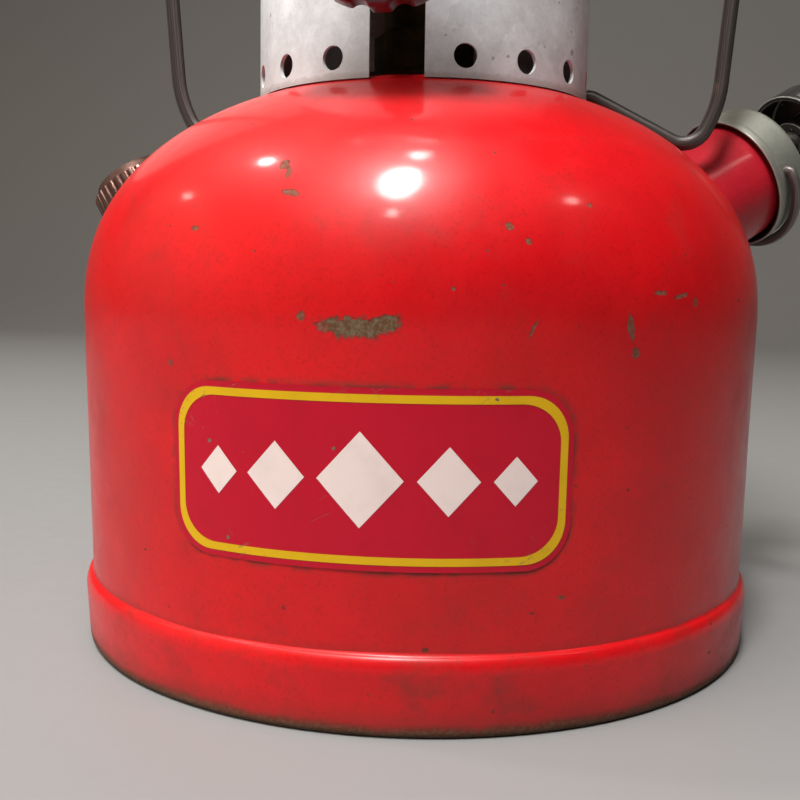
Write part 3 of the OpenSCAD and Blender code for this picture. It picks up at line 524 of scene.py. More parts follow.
def cells(tree, place, shift, scale):
    """Scattered cells: two random values of the cell, and the distance from its middle."""
    made = add_node(tree, "TexVoronoi", {"Vector": vector_sums(tree, "ADD", place, shift), "Scale": scale})
    parts = add_node(tree, "SeparateColor", {"Color": made.outputs["Color"]}).outputs
    return parts[0], parts[1], made.outputs["Distance"]


def stretched(tree, place, stretch):
    return add_node(tree, "Mapping", {"Vector": place, "Scale": stretch}).outputs[0]


def split(tree, place):
    return add_node(tree, "SeparateXYZ", {"Vector": place}).outputs


def effect(name, build, **inputs):
    """A shader node group that is built once. build gets its tree and inputs and gives its outputs."""
    group = bpy.data.node_groups.get(name)
    if group:
        return group
    group = bpy.data.node_groups.new(name, "ShaderNodeTree")
    for label, default in {"Place": (0.0, 0.0, 0.0), **inputs}.items():
        kind = "NodeSocketVector" if isinstance(default, tuple) else "NodeSocketFloat"
        group.interface.new_socket(label, in_out="INPUT", socket_type=kind).default_value = default
    entry = group.nodes.new("NodeGroupInput")
    made = build(group, entry.outputs)
    for label in made:
        group.interface.new_socket(label, in_out="OUTPUT", socket_type="NodeSocketFloat")
    leave = group.nodes.new("NodeGroupOutput")
    feed_all(group, leave, made)
    return group


def use(tree, group, **inputs):
    """Places an effect in a tree and gives its outputs."""
    made = tree.nodes.new("ShaderNodeGroup")
    made.node_tree = group
    return feed_all(tree, made, inputs).outputs


def mask(tree, group, place, **inputs):
    return use(tree, group, Place=place, **inputs)["Mask"]


# Effects that several finishes share

def specks_effect():
    """Small round nicks scattered over a surface."""

    def build(tree, given):
        shift = wander(tree, given["Place"], 900.0, 2.0, 0.0012)
        chance, large, distance = cells(tree, given["Place"], shift, given["Spacing"])
        here = sums(tree, "LESS_THAN", chance, given["Share"])
        size = times(tree, span(tree, large, 0.25, 1.0), given["Size"])
        return {"Mask": times(tree, here, sums(tree, "LESS_THAN", distance, size))}

    return effect("Specks", build, Spacing=200.0, Share=0.1, Size=0.1)


def chip_effect():
    """One ragged chip on a round wall, turned to its azimuth and tilted in the wall."""

    def build(tree, given):
        back = times(tree, given["Turn"], -1.0)
        turned = add_node(tree, "VectorRotate", {"Vector": given["Place"], "Angle": back},
                          rotation_type="Z_AXIS")
        moved = vector_sums(tree, "SUBTRACT", turned, given["Middle"])
        tilted = add_node(tree, "VectorRotate", {"Vector": moved, "Angle": given["Tilt"]},
                          rotation_type="Y_AXIS")
        shared = vector_sums(tree, "DIVIDE", tilted, given["Reach"])
        far = vector_sums(tree, "LENGTH", vector_sums(tree, "ADD", shared, given["Fray"]))
        return {"Mask": fade(tree, far, 1.0, 0.86), "Edge": fade(tree, far, 1.32, 0.98)}

    return effect("Paint chip", build, Fray=(0.0, 0.0, 0.0), Turn=0.0, Middle=(0.0, 0.0, 0.0), Tilt=0.0,
                  Reach=(0.01, 0.01, 0.01))


def grime_effect():
    """Dirt that gathers from one height towards another."""

    def build(tree, given):
        near = add_node(tree, "MapRange", {"Value": split(tree, given["Place"])["Z"],
                                           "From Min": given["Thick"], "From Max": given["Clear"],
                                           "To Min": 1.0, "To Max": 0.0},
                        interpolation_type="SMOOTHSTEP").outputs[0]
        patches = cloud(tree, given["Place"], given["Grain"], 6.0, 0.65)
        ragged = plus(tree, near, span(tree, patches, -0.75, 0.45))
        return {"Mask": times(tree, fade(tree, ragged, 0.15, 0.75), near)}

    return effect("Grime", build, Thick=0.0, Clear=0.01, Grain=300.0)


def rim_effect():
    """Wear along rounded edges."""

    def build(tree, given):
        edge = add_node(tree, "Attribute", attribute_name="rim").outputs["Fac"]
        patches = cloud(tree, given["Place"], given["Grain"], 5.0, 0.7)
        worn = plus(tree, edge, span(tree, patches, -1.0, 0.35))
        start = minus(tree, 1.0, given["Amount"])
        return {"Mask": times(tree, fade(tree, worn, start, plus(tree, start, 0.2)), edge)}

    return effect("Rim wear", build, Amount=0.5, Grain=400.0)


def scratch_effect():
    """Fine scratches that run one way."""

    def build(tree, given):
        turned = add_node(tree, "VectorRotate", {"Vector": given["Place"], "Rotation": given["Turn"]},
                          rotation_type="EULER_XYZ")
        lines = cloud(tree, stretched(tree, turned, (14.0, 1400.0, 1400.0)), 1.0, 2.0, 0.5)
        patch = cloud(tree, given["Place"], 55.0, 2.0, 0.5)
        return {"Mask": times(tree, fade(tree, lines, 0.66, 0.71), fade(tree, patch, 0.5, 0.68))}

    return effect("Scratches", build, Turn=(0.0, 0.0, 0.0))


def spangle_effect():
    """The crystal patches of a zinc coat, with fine grain over them."""

    def build(tree, given):
        shift = wander(tree, given["Place"], 160.0, 3.0, 0.012)
        crystal = cells(tree, given["Place"], shift, given["Grain"])[0]
        fine = cloud(tree, given["Place"], 1500.0, 3.0, 0.6)
        broad = cloud(tree, given["Place"], 70.0, 4.0, 0.6)
        shade = plus(tree, times(tree, crystal, 0.12), times(tree, broad, 0.88))
        return {"Shade": plus(tree, shade, span(tree, fine, -0.12, 0.12)), "Grain": fine}

    return effect("Zinc spangle", build, Grain=130.0)


# Finishes

def start_finish(name):
    """A new material with its tree, its shader and the place on the piece."""
    material = bpy.data.materials.new(name)
    material.use_nodes = True
    tree = material.node_tree
    return material, tree, tree.nodes["Principled BSDF"], add_node(tree, "TexCoord").outputs["Object"]


def set_bump(tree, shader, height, distance, strength=1.0):
    bump = add_node(tree, "Bump", {"Height": height, "Distance": distance, "Strength": strength})
    feed(tree, shader.inputs["Normal"], bump)


def grime(tree, place, thick, clear, grain=300.0, weight=1.0):
    """A band of dirt, thick at one height and clear at another."""
    return times(tree, mask(tree, grime_effect(), place, Thick=thick, Clear=clear, Grain=grain), weight)


# Chips that show from the front, in degrees and millimetres: azimuth, height, half width, half height, tilt
FOUNT_CHIPS = (
    (0.1, 70.4, 5.6, 1.75, -4.0),
    (4.1, 71.1, 2.6, 1.35, 12.0),
    (-3.7, 70.6, 1.5, 1.1, 0.0),
    (-6.9, 72.0, 0.9, 0.75, 0.0),
    (-12.5, 97.8, 0.9, 0.9, 0.0),
    (-11.5, 96.4, 0.5, 1.2, 15.0),
    (-10.3, 92.8, 1.7, 0.55, -10.0),
    (-24.8, 86.8, 0.9, 0.5, 0.0),
    (20.0, 87.3, 0.75, 0.65, 0.0),
    (32.4, 91.5, 0.55, 0.4, 0.0),
    (37.4, 70.9, 0.75, 2.3, 8.0),
    (38.4, 66.4, 0.9, 0.9, 0.0),
    (42.8, 76.8, 1.5, 0.45, 0.0),
    (46.8, 76.3, 1.9, 0.4, 12.0),
    (49.9, 75.2, 0.5, 0.9, -20.0),
    (22.9, 70.4, 0.3, 1.6, -25.0),
    (22.5, 85.0, 0.5, 0.5, 0.0),
    (12.5, 77.0, 0.4, 0.35, 0.0),
    (28.5, 24.2, 0.8, 0.4, 0.0),
    (-28.0, 63.0, 0.5, 0.5, 0.0),
)
# How deep a chip reaches, half the width of a large one, and how bare the smaller ones are
CHIP_DEPTH = 8.0
LARGE_CHIP = 2.0
SMALL_CHIP_SHARE = 0.72


def chip_masks(tree, place, fray, chips, fount):
    """The bare spots of single chips in the wall, and the dark edges round them."""
    spots, edges = [], []
    for azimuth, height, wide, tall, tilt in chips:
        middle = (0.0, -wall_radius(fount, height * MM), height * MM)
        chip = use(tree, chip_effect(), Place=place, Fray=fray, Turn=math.radians(azimuth), Middle=middle,
                   Tilt=math.radians(tilt), Reach=(wide * MM, CHIP_DEPTH * MM, tall * MM))
        spots.append(times(tree, chip["Mask"], 1.0 if wide > LARGE_CHIP else SMALL_CHIP_SHARE))
        edges.append(chip["Edge"])
    return spots, edges


def flake_mask(tree, place, fray, share):
    """Flakes lost from the sides and the back, in a share of scattered cells."""
    shift = vector_sums(tree, "MULTIPLY", fray, (0.0011, 0.0011, 0.0011))
    chance, large, distance = cells(tree, place, shift, 30.0)
    here = sums(tree, "LESS_THAN", chance, share)
    spot = sums(tree, "LESS_THAN", distance, span(tree, large, 0.02, 0.085))
    behind = fade(tree, split(tree, place)["Y"], -0.018, 0.0)
    return times(tree, times(tree, here, spot), behind)


def label_stain(tree, place, fount, label):
    """Dirt in the enamel under the label and just round its edge."""
    parts = split(tree, place)
    spin = sums(tree, "ARCTAN2", parts["X"], times(tree, parts["Y"], -1.0))
    squares = []
    for value, middle, half in ((times(tree, spin, fount.radius), label.across, label.width / 2),
                                (parts["Z"], label.middle, label.height / 2)):
        off = sums(tree, "ABSOLUTE", minus(tree, value, middle))
        past = sums(tree, "MAXIMUM", minus(tree, off, half - label.corner), 0.0)
        squares.append(times(tree, past, past))
    away = minus(tree, sums(tree, "SQRT", plus(tree, *squares)), label.corner)
    front = sums(tree, "LESS_THAN", parts["Y"], 0.0)
    patches = fade(tree, cloud(tree, place, 230.0, 5.0, 0.65), 0.36, 0.62)
    stain = times(tree, fade(tree, away, 0.0016, -0.0002), patches)
    return times(tree, times(tree, stain, front), 0.75)


def enamel(name, colours, body, deep, gloss, fount=None, chips=(), dirty=(), flakes=0.0, label=None,
           film=0.12, soil=0.0, foot=()):
    """Old gloss enamel: mottled, specked, chipped to the metal, worn on its edges and dirty in seams."""
    material, tree, shader, place = start_finish(name)
    tone = mix(tree, fade(tree, cloud(tree, place, 34.0, 5.0, 0.6), 0.32, 0.72), body, deep)
    fine = fade(tree, cloud(tree, place, 420.0, 4.0, 0.6), 0.48, 0.75)
    tone = mix(tree, times(tree, fine, 0.45), tone, deep)
    grit = fade(tree, cloud(tree, place, 1500.0, 4.0, 0.65), 0.5, 0.74)
    tone = mix(tree, times(tree, grit, 0.42), tone, toned(deep, 0.45))

    fray = wander(tree, place, 760.0, 6.0, 2.3, 0.76)
    spots, edges = chip_masks(tree, place, fray, chips, fount)
    rims = mask(tree, rim_effect(), place, Amount=0.42, Grain=260.0)
    bare = [rims, *(grime(tree, place, *band) for band in foot), *spots]
    if flakes:
        bare.append(flake_mask(tree, place, fray, flakes))
    bare = highest(tree, bare)
    if edges:
        tone = mix(tree, times(tree, highest(tree, edges), 0.42), tone, colours.dirt)
    worn = fade(tree, cloud(tree, place, 1300.0, 5.0, 0.7), 0.38, 0.66)
    tone = mix(tree, bare, tone, mix(tree, worn, colours.rust, colours.primer))

    specks = mask(tree, specks_effect(), place, Spacing=330.0, Share=0.2, Size=0.13)
    marks = [times(tree, specks, 0.85), *(grime(tree, place, *band) for band in dirty)]
    if soil:
        patches = fade(tree, cloud(tree, place, 75.0, 7.0, 0.72, 0.4), 0.48, 0.74)
        marks.append(times(tree, patches, soil))
    if label:
        marks.append(label_stain(tree, place, fount, label))
    dirt = highest(tree, marks)

    uneven = fade(tree, cloud(tree, place, 90.0, 5.0), 0.3, 0.7)
    rough = plus(tree, plus(tree, gloss, times(tree, uneven, 0.10)), times(tree, bare, 0.4))
    coat = minus(tree, 0.34, times(tree, bare, 0.34))
    feed_all(tree, shader, {"Base Color": mix(tree, dirt, tone, colours.dirt),
                            "Roughness": plus(tree, rough, times(tree, dirt, 0.3)),
                            "Coat Weight": times(tree, coat, minus(tree, 1.0, dirt)),
                            "Coat Roughness": film, "Specular IOR Level": 0.26})
    peel = times(tree, cloud(tree, place, 310.0, 2.0, 0.5), 0.16)
    set_bump(tree, shader, minus(tree, peel, bare), 0.00016, 0.8)
    return material


def print_ink(name, ink, colours):
    """A printed label layer: a little faded, scratched and specked."""
    material, tree, shader, place = start_finish(name)
    pale = fade(tree, cloud(tree, place, 150.0, 5.0, 0.6), 0.42, 0.8)
    faded = mix(tree, times(tree, pale, 0.35), ink, toned(ink, 0.72))
    specks = mask(tree, specks_effect(), place, Spacing=300.0, Share=0.16, Size=0.14)
    lines = mask(tree, scratch_effect(), place, Turn=(0.0, 0.5, 0.0))
    cross = mask(tree, scratch_effect(), place, Turn=(0.0, -0.9, 0.0))
    worn = highest(tree, [specks, times(tree, lines, 0.5), times(tree, cross, 0.4)])
    rough = span(tree, cloud(tree, place, 260.0, 4.0), 0.28, 0.48)
    feed_all(tree, shader, {"Base Color": mix(tree, worn, faded, colours.primer),
                            "Roughness": plus(tree, rough, times(tree, worn, 0.2)),
                            "Specular IOR Level": 0.25, "Coat Weight": 0.12, "Coat Roughness": 0.2})
    grain = span(tree, cloud(tree, place, 700.0, 3.0), 0.0, 0.2)
    set_bump(tree, shader, minus(tree, grain, worn), 0.00006)
    return material


def painted_mouth_shade_mask(tree, place, seat, reach, level):
    """The mask of the painted shade inside a round mouth about the seat's Z, as far up as a level."""
    axis = seat.col[2].to_3d()
    arm = vector_sums(tree, "SUBTRACT", place, seat.translation)
    off = vector_sums(tree, "LENGTH", vector_sums(tree, "CROSS_PRODUCT", arm, axis))
    below = sums(tree, "LESS_THAN", vector_sums(tree, "DOT_PRODUCT", arm, axis), level)
    return times(tree, fade(tree, off, reach, reach - 0.0002), below)


def coated_sheet(name, tone, grain, dirty=(), dull=0.42, metal=0.85, mouth=None):
    """Galvanised or zinc-cast metal: spangled, stained and dull with age, with painted shade inside a mouth.
    """
    material, tree, shader, place = start_finish(name)
    spangle = use(tree, spangle_effect(), Place=place, Grain=grain)
    shade = fade(tree, spangle["Shade"], 0.22, 0.82)
    face = mix(tree, shade, toned(tone, 0.62), tone)
    blotch = fade(tree, cloud(tree, place, 210.0, 6.0, 0.7), 0.55, 0.74)
    specks = mask(tree, specks_effect(), place, Spacing=330.0, Share=0.25, Size=0.2)
    seams = [grime(tree, place, thick, clear, weight=weight) for thick, clear, weight in dirty]
    soil_and_mouth_shade = highest(tree, [times(tree, blotch, 0.45), times(tree, specks, 0.7), *seams])
    stain = mix(tree, cloud(tree, place, 90.0, 2.0), (0.17, 0.15, 0.10), (0.11, 0.10, 0.085))
    face = mix(tree, soil_and_mouth_shade, face, stain)
    shine = mask(tree, rim_effect(), place, Amount=0.6, Grain=500.0)
    face = mix(tree, times(tree, shine, 0.6), face, [min(1.0, part) for part in toned(tone, 1.35)])
    if mouth:
        # Painted shade: the inside of the mouth is coloured near black and made duller and less metallic.
        painted_mouth_shade = painted_mouth_shade_mask(tree, place, *mouth)
        face = mix(tree, painted_mouth_shade, face, (0.012, 0.011, 0.010))
        soil_and_mouth_shade = sums(tree, "MAXIMUM", soil_and_mouth_shade, painted_mouth_shade)
    rough = plus(tree, times(tree, shade, -0.12), dull + 0.08)
    feed_all(tree, shader, {"Base Color": face,
                            "Metallic": minus(tree, metal, times(tree, soil_and_mouth_shade, metal * 0.7)),
                            "Roughness": plus(tree, rough, times(tree, soil_and_mouth_shade, 0.25))})
    height = minus(tree, span(tree, spangle["Grain"], 0.0, 0.5), times(tree, soil_and_mouth_shade, 0.4))
    set_bump(tree, shader, height, 0.00008, 0.7)
    return material


def bright_metal(name, tone, tarnish, amount, rough):
    """Turned or plated metal with tarnish, fine scratches and worn edges."""
    material, tree, shader, place = start_finish(name)
    patch = fade(tree, cloud(tree, place, 120.0, 6.0, 0.68), 0.62 - 0.3 * amount, 0.82 - 0.2 * amount)
    lines = highest(tree, [mask(tree, scratch_effect(), place, Turn=way)
                           for way in ((0.0, 0.3, 0.2), (0.4, -0.8, 0.9))])
    shine = mask(tree, rim_effect(), place, Amount=0.7, Grain=600.0)
    dull = times(tree, patch, minus(tree, 1.0, shine))
    face = mix(tree, times(tree, dull, 0.85), tone, tarnish)
    grain = cloud(tree, place, 800.0, 4.0, 0.6)
    feed_all(tree, shader, {"Base Color": mix(tree, times(tree, lines, 0.4), face, tone),
                            "Metallic": minus(tree, 1.0, times(tree, dull, 0.35)),
                            "Roughness": plus(tree, span(tree, grain, rough - 0.07, rough + 0.09),
                                              times(tree, dull, 0.2))})
    set_bump(tree, shader, minus(tree, times(tree, grain, 0.4), lines), 0.00003, 0.6)
    return material


def plain_body(name, tone, dark, grain, rough, bump):
    """A matt body such as rubber, leather or fired clay, mottled and grained."""
    material, tree, shader, place = start_finish(name)
    mottle = cloud(tree, place, grain, 6.0, 0.65)
    pores = add_node(tree, "TexVoronoi", {"Vector": place, "Scale": grain * 4}).outputs["Distance"]
    feed_all(tree, shader, {"Base Color": mix(tree, fade(tree, mottle, 0.3, 0.72), tone, dark),
                            "Roughness": span(tree, mottle, rough - 0.1, rough + 0.1)})
    set_bump(tree, shader, plus(tree, mottle, times(tree, pores, 0.5)), bump)
    return material


def worn_paint(name, tone, bare, gloss, wear):
    """Dark paint or moulding rubbed through to a lighter body on its edges."""
    material, tree, shader, place = start_finish(name)
    rubbed = mask(tree, rim_effect(), place, Amount=wear, Grain=420.0)
    specks = mask(tree, specks_effect(), place, Spacing=300.0, Share=0.3, Size=0.16)
    lines = mask(tree, scratch_effect(), place, Turn=(0.3, 0.9, 0.4))
    gone = highest(tree, [rubbed, times(tree, specks, 0.8), times(tree, lines, 0.5)])
    mottle = fade(tree, cloud(tree, place, 160.0, 5.0, 0.6), 0.3, 0.75)
    face = mix(tree, mottle, tone, toned(tone, 0.55))
    rough = span(tree, mottle, gloss, gloss + 0.14)
    feed_all(tree, shader, {"Base Color": mix(tree, gone, face, bare),
                            "Roughness": plus(tree, rough, times(tree, gone, 0.15)),
                            "Coat Weight": 0.25, "Coat Roughness": 0.25})
    set_bump(tree, shader, minus(tree, cloud(tree, place, 500.0, 3.0), gone), 0.00008, 0.6)
    return material


def drawn_wire(name, tone, colours):
    """Drawn steel wire, darkened, with rust spots and rubbed bright streaks."""
    material, tree, shader, place = start_finish(name)
    along = add_node(tree, "UVMap", uv_map="turned").outputs[0]
    streaks = cloud(tree, stretched(tree, along, (60.0, 6.0, 1.0)), 1.0, 4.0, 0.6)
    rust = fade(tree, cloud(tree, place, 95.0, 6.0, 0.68), 0.58, 0.72)
    face = mix(tree, fade(tree, streaks, 0.35, 0.7), toned(tone, 0.55), toned(tone, 1.5))
    rough = span(tree, streaks, 0.42, 0.58)
    feed_all(tree, shader, {"Base Color": mix(tree, times(tree, rust, 0.6), face, colours.rust),
                            "Metallic": minus(tree, 0.8, times(tree, rust, 0.6)),
                            "Roughness": plus(tree, rough, times(tree, rust, 0.25))})
    set_bump(tree, shader, plus(tree, streaks, rust), 0.00005, 0.6)
    return material


def globe_glass(name, colours):
    """Clear pressed glass with a little haze."""
    material, tree, shader, place = start_finish(name)
    haze = fade(tree, cloud(tree, place, 45.0, 6.0, 0.7), 0.42, 0.85)
    feed_all(tree, shader, {"Base Color": mix(tree, haze, colours.glass, toned(colours.glass, 0.93)),
                            "Roughness": span(tree, haze, 0.015, 0.10),
                            "Transmission Weight": 1.0, "IOR": 1.48})
    set_bump(tree, shader, cloud(tree, place, 70.0, 2.0, 0.4), 0.0002, 0.25)
    return material


def knitted(name, colours, wales, rows):
    """Open knitted cloth: rows of loops with gaps between them."""
    material, tree, shader, place = start_finish(name)
    parts = split(tree, add_node(tree, "UVMap", uv_map="turned"))
    across = times(tree, parts["X"], wales * 2 * math.pi)
    up = times(tree, parts["Y"], rows * 2 * math.pi)
    lean = plus(tree, up, times(tree, sums(tree, "SINE", across), 1.1))
    yarn = highest(tree, [sums(tree, "SINE", lean), times(tree, sums(tree, "COSINE", across), 0.9)])
    fuzz = cloud(tree, place, 900.0, 4.0, 0.6)
    tone = mix(tree, span(tree, yarn, 0.35, 0.75), toned(colours.mantle, 0.62), colours.mantle)
    feed_all(tree, shader, {"Base Color": tone, "Roughness": span(tree, fuzz, 0.8, 0.95),
                            "Alpha": fade(tree, yarn, -0.55, -0.05)})
    set_bump(tree, shader, plus(tree, yarn, times(tree, fuzz, 0.4)), 0.0003)
    return material


# Fount and label

# How far the cuts for pump and filler reach and stay inside their tubes, and the bead's place and radius
TUBE_REACH = 0.03
TUBE_EASE = 0.0002
BEAD_OUT = 0.0004
BEAD_RADIUS = 0.0005
FOUNT_STEPS = 256


def dome_profile(fount):
    """The fount's wall and dome, from behind the skirt up to the edge of the crown hole."""
    tucked, rows, turns = 0.006, 24, 48
    foot = fount.skirt_top - tucked
    levels = [foot + (fount.shoulder - foot) * i / rows for i in range(rows)]
    outer = [(wall_radius(fount, level), level, 0.0) for level in levels]
    power = 2 / fount.fullness
    end = math.acos((fount.crown_hole / fount.radius) ** (fount.fullness / 2))
    for t in (end * i / turns for i in range(turns + 1)):
        outer.append((fount.radius * math.cos(t) ** power,
                      fount.shoulder + fount.dome_rise * max(0.0, math.sin(t)) ** power, 0.0))
    crown, height, _ = outer[-1]
    return [*outer, (crown, height - fount.sheet, 0.0)]


def pan_radius(fount):
    """Radius where the recessed pan bends down to the standing edge."""
    return fount.skirt_radius - fount.foot_inset - fount.foot_width - fount.pan / 2


def skirt_profile(fount):
    """The pan, the standing edge, the rolled skirt and the crease where it meets the wall."""
    ease, tuck, worn_below = 0.0001, 0.0004, 0.004
    wall, pan = wall_radius(fount, fount.skirt_top), pan_radius(fount)
    lip, rise = wall + ease, fount.skirt_top - fount.skirt_wide
    foot = fount.skirt_radius - fount.foot_inset
    inner = foot - fount.foot_width
    rolled = [(lip + (fount.skirt_radius - lip) * math.cos(a), fount.skirt_wide + rise * math.sin(a))
              for a in (math.radians(degrees) for degrees in range(0, 76, 5))]
    start, end = rolled[-1], (wall - tuck, fount.flare)
    crease = [bowed(start, (wall, start[1] + ease), end, k / 8) for k in range(1, 9)]
    corners = [(0.0, fount.pan, 0.0), (pan, fount.pan, 0.003), (inner, 0.0, 0.0008),
               (foot, 0.0, fount.foot_round), *((r, z, 0.0) for r, z in rolled + crease),
               (lip - 0.001, fount.skirt_top - 0.005, 0.0), (foot - fount.sheet, fount.foot_round, 0.0),
               (foot - fount.foot_round, fount.sheet, 0.0), (inner, fount.sheet, 0.0),
               (pan, fount.pan + fount.sheet, 0.0), (0.0, fount.pan + fount.sheet, 0.0)]
    return [(r, z, rim if z < worn_below else 0.0) for r, z, rim in eased(corners, 7)]


def solder_ring(fount, seat, reach):
    """The line where a tube about the seat's Z comes out of the fount."""
    crown, count, halvings = fount.shoulder + fount.dome_rise, 96, 30
    ring = []
    for k in range(count):
        spin, inside, outside = 2 * math.pi * k / count, -TUBE_REACH, TUBE_REACH
        for _ in range(halvings):
            middle = (inside + outside) / 2
            at = seat @ spun(spin, reach, middle)
            under = at.z < crown and at.xy.length < wall_radius(fount, at.z)
            inside, outside = (middle, outside) if under else (inside, middle)
        ring.append(seat @ spun(spin, reach, inside))
    return ring


class LANTERN_OT_fount(Operator):
    """Builds the pressed fount, its rolled skirt and the solder beads round pump and filler"""

    bl_idname = "lantern.fount"
    bl_label = "Fount"

    def execute(self, context):
        scene = context.scene
        fount, fittings, colours = scene.lantern_fount, scene.lantern_fittings, scene.lantern_colours
        paint = enamel("red enamel", colours, colours.red, colours.deep_red, 0.34, fount, FOUNT_CHIPS,
                       ((0.0135, 0.019, 320.0, 0.3),), 0.24, scene.lantern_label, soil=0.22)
        # The skirt's enamel is made darker in patches towards its standing edge, most of all in its lowest
        # 2.6 mm.
        skirt_paint = enamel("skirt enamel", colours, colours.red, colours.deep_red, 0.36,
                             dirty=((0.0, 0.0026, 260.0, 0.8), (0.0, 0.012, 120.0, 0.4)), flakes=0.3,
                             film=0.24, soil=0.5, foot=((0.0003, 0.0048, 130.0),))
        tubes = {"pump_solder": (axis_seat(JOINTS["knob_turn"]), fittings.barrel - TUBE_EASE),
                 "filler_solder": (axis_seat(JOINTS["filler_turn"]), fittings.neck - TUBE_EASE)}
        cuts = [(seat.inverted(), reach) for seat, reach in tubes.values()]
        pan = pan_radius(fount)

        def dented(spin, radius, height):
            at = spun(spin, radius, height)
            wave = noise.noise(at * 26.0) + 0.5 * noise.noise(at * 61.0 + Vector((3.1, 0.4, 7.7)))
            keep = min(1.0, max(0.0, (radius - 2 * fount.crown_hole) / fount.radius))
            return radius + fount.dent * wave * keep, height

        def opened(point):
            places = [(inverse @ point, reach) for inverse, reach in cuts]
            return any(at.xy.length < reach and at.z > -TUBE_REACH for at, reach in places)

        def rolled(spin, radius, height):
            wave = noise.noise(spun(spin, radius, height) * 45.0)
            return radius + 0.4 * fount.dent * wave * (radius > pan), height

        shell = lathe("fount_enamel", dome_profile(fount), steps=FOUNT_STEPS, shape=dented, closed=False,
                      skip=opened)
        add_piece(shell, paint, "root", "red_enamel", "fount_shell")
        skirt = lathe("fount_skirt", skirt_profile(fount), steps=FOUNT_STEPS, shape=rolled)
        add_piece(skirt, skirt_paint, "root", "red_enamel", "fount_bottom")
        for name, (seat, reach) in tubes.items():
            bead = wire(name, solder_ring(fount, seat, reach + BEAD_OUT), BEAD_RADIUS, 12, True)
            add_piece(bead, paint, "root", "red_enamel")
        return {"FINISHED"}


# The print's distance from the wall, and how the lozenges shrink, stand apart and end
LABEL_CLEAR = 0.00012
LOZENGE_STEP = 0.72
LOZENGE_GAP = 0.0022
LOZENGE_TIP = 1e-6


def grid_faces(columns, rows, ring=False):
    """The faces between columns of points that lie side by side, each of rows + 1 points."""
    faces = []
    for i in range(columns if ring else columns - 1):
        for k in range(rows):
            a, b = i * (rows + 1) + k, (i + 1) % columns * (rows + 1) + k
            faces.append([a, b, b + 1, a + 1])
    return faces


def label_point(fount, label, x, y, layer):
    """The point of a printed layer that lies x across and y up from the label's middle."""
    return on_wall(fount, label.across + x, label.middle + y, LABEL_CLEAR + layer * label.lift)


def label_panel(name, columns, layer, fount, label):
    """A printed area. Columns: across, low and high, measured from the label's middle."""
    rows = 24
    verts = [label_point(fount, label, x, y_low + (y_high - y_low) * k / rows, layer)
             for x, y_low, y_high in columns for k in range(rows + 1)]
    return finish_mesh(name, verts, grid_faces(len(columns), rows))


def field_columns(label, count=60):
    """The columns of the label's field, closest together at its round ends."""
    half, corner = label.width / 2, label.corner
    columns = []
    for k in range(-count, count + 1):
        x = half * math.sin(math.pi / 2 * k / count)
        past = max(0.0, abs(x) - (half - corner))
        tall = label.height / 2 - corner + math.sqrt(max(0.0, corner ** 2 - past ** 2))
        columns.append((x, -tall, tall))
    return columns


def lozenge_columns(middle, wide, tall, count=12):
    columns = []
    for k in range(-count, count + 1):
        reach = tall / 2 * (1 - abs(k) / count) + LOZENGE_TIP
        columns.append((middle + wide / 2 * k / count, -reach, reach))
    return columns


def label_outline(label, inset, steps=12, longest=0.0015):
    """The outline set in from the label's edge, as points from its middle."""
    half_w, half_h = label.width / 2 - inset, label.height / 2 - inset
    corner = max(label.corner - inset, 0.001)
    out = []
    for quarter, (sx, sy) in enumerate(((1, 1), (-1, 1), (-1, -1), (1, -1))):
        for spin in (math.pi / 2 * (quarter + k / steps) for k in range(steps + 1)):
            out.append((sx * (half_w - corner) + corner * math.cos(spin),
                        sy * (half_h - corner) + corner * math.sin(spin)))
    dense = []
    for (x0, y0), (x1, y1) in zip(out, out[1:] + out[:1]):
        parts = max(1, round(math.dist((x0, y0), (x1, y1)) / longest))
        dense.extend((x0 + (x1 - x0) * k / parts, y0 + (y1 - y0) * k / parts) for k in range(parts))
    return dense


def label_keyline(fount, label, rows=3):
    """The key line, from the outline inside the margin inwards."""
    edge = label_outline(label, label.margin)
    half_w, half_h = label.width / 2 - label.margin, label.height / 2 - label.margin
    verts = []
    for x, y in edge:
        for inward in (label.keyline * k / rows for k in range(rows + 1)):
            verts.append(label_point(fount, label, x * (1 - inward / half_w), y * (1 - inward / half_h), 2))
    return finish_mesh("label_keyline", verts, grid_faces(len(edge), rows, ring=True))


class LANTERN_OT_label(Operator):
    """Prints the plain label: field, key line and a row of lozenges"""

    bl_idname = "lantern.label"
    bl_label = "Label"

    def execute(self, context):
        scene = context.scene
        fount, label, colours = scene.lantern_fount, scene.lantern_label, scene.lantern_colours
        field = print_ink("label field", colours.field, colours)
        yellow = print_ink("label key line", colours.yellow, colours)
        cream = print_ink("label cream", colours.cream, colours)
        ground = label_panel("label_field", field_columns(label), 1, fount, label)
        add_piece(ground, field, "root", "red_enamel")
        add_piece(label_keyline(fount, label), yellow, "root", "red_enamel")
        place = 0.0
        for step in range(label.lozenges + 1):
            share, after = LOZENGE_STEP ** step, LOZENGE_STEP ** (step + 1)
            wide, tall = label.lozenge_width * share, label.lozenge_height * share
            for side in ((1,) if step == 0 else (-1, 1)):
                name = "label_lozenge_" + str(step) + ("_left" if side < 0 else "_right" if step else "")
                columns = lozenge_columns(side * place, wide, tall)
                add_piece(label_panel(name, columns, 2, fount, label), cream, "root", "red_enamel")
            place += wide / 2 + label.lozenge_width * after / 2 + LOZENGE_GAP
        return {"FINISHED"}


# Filler, pump, valve and collar

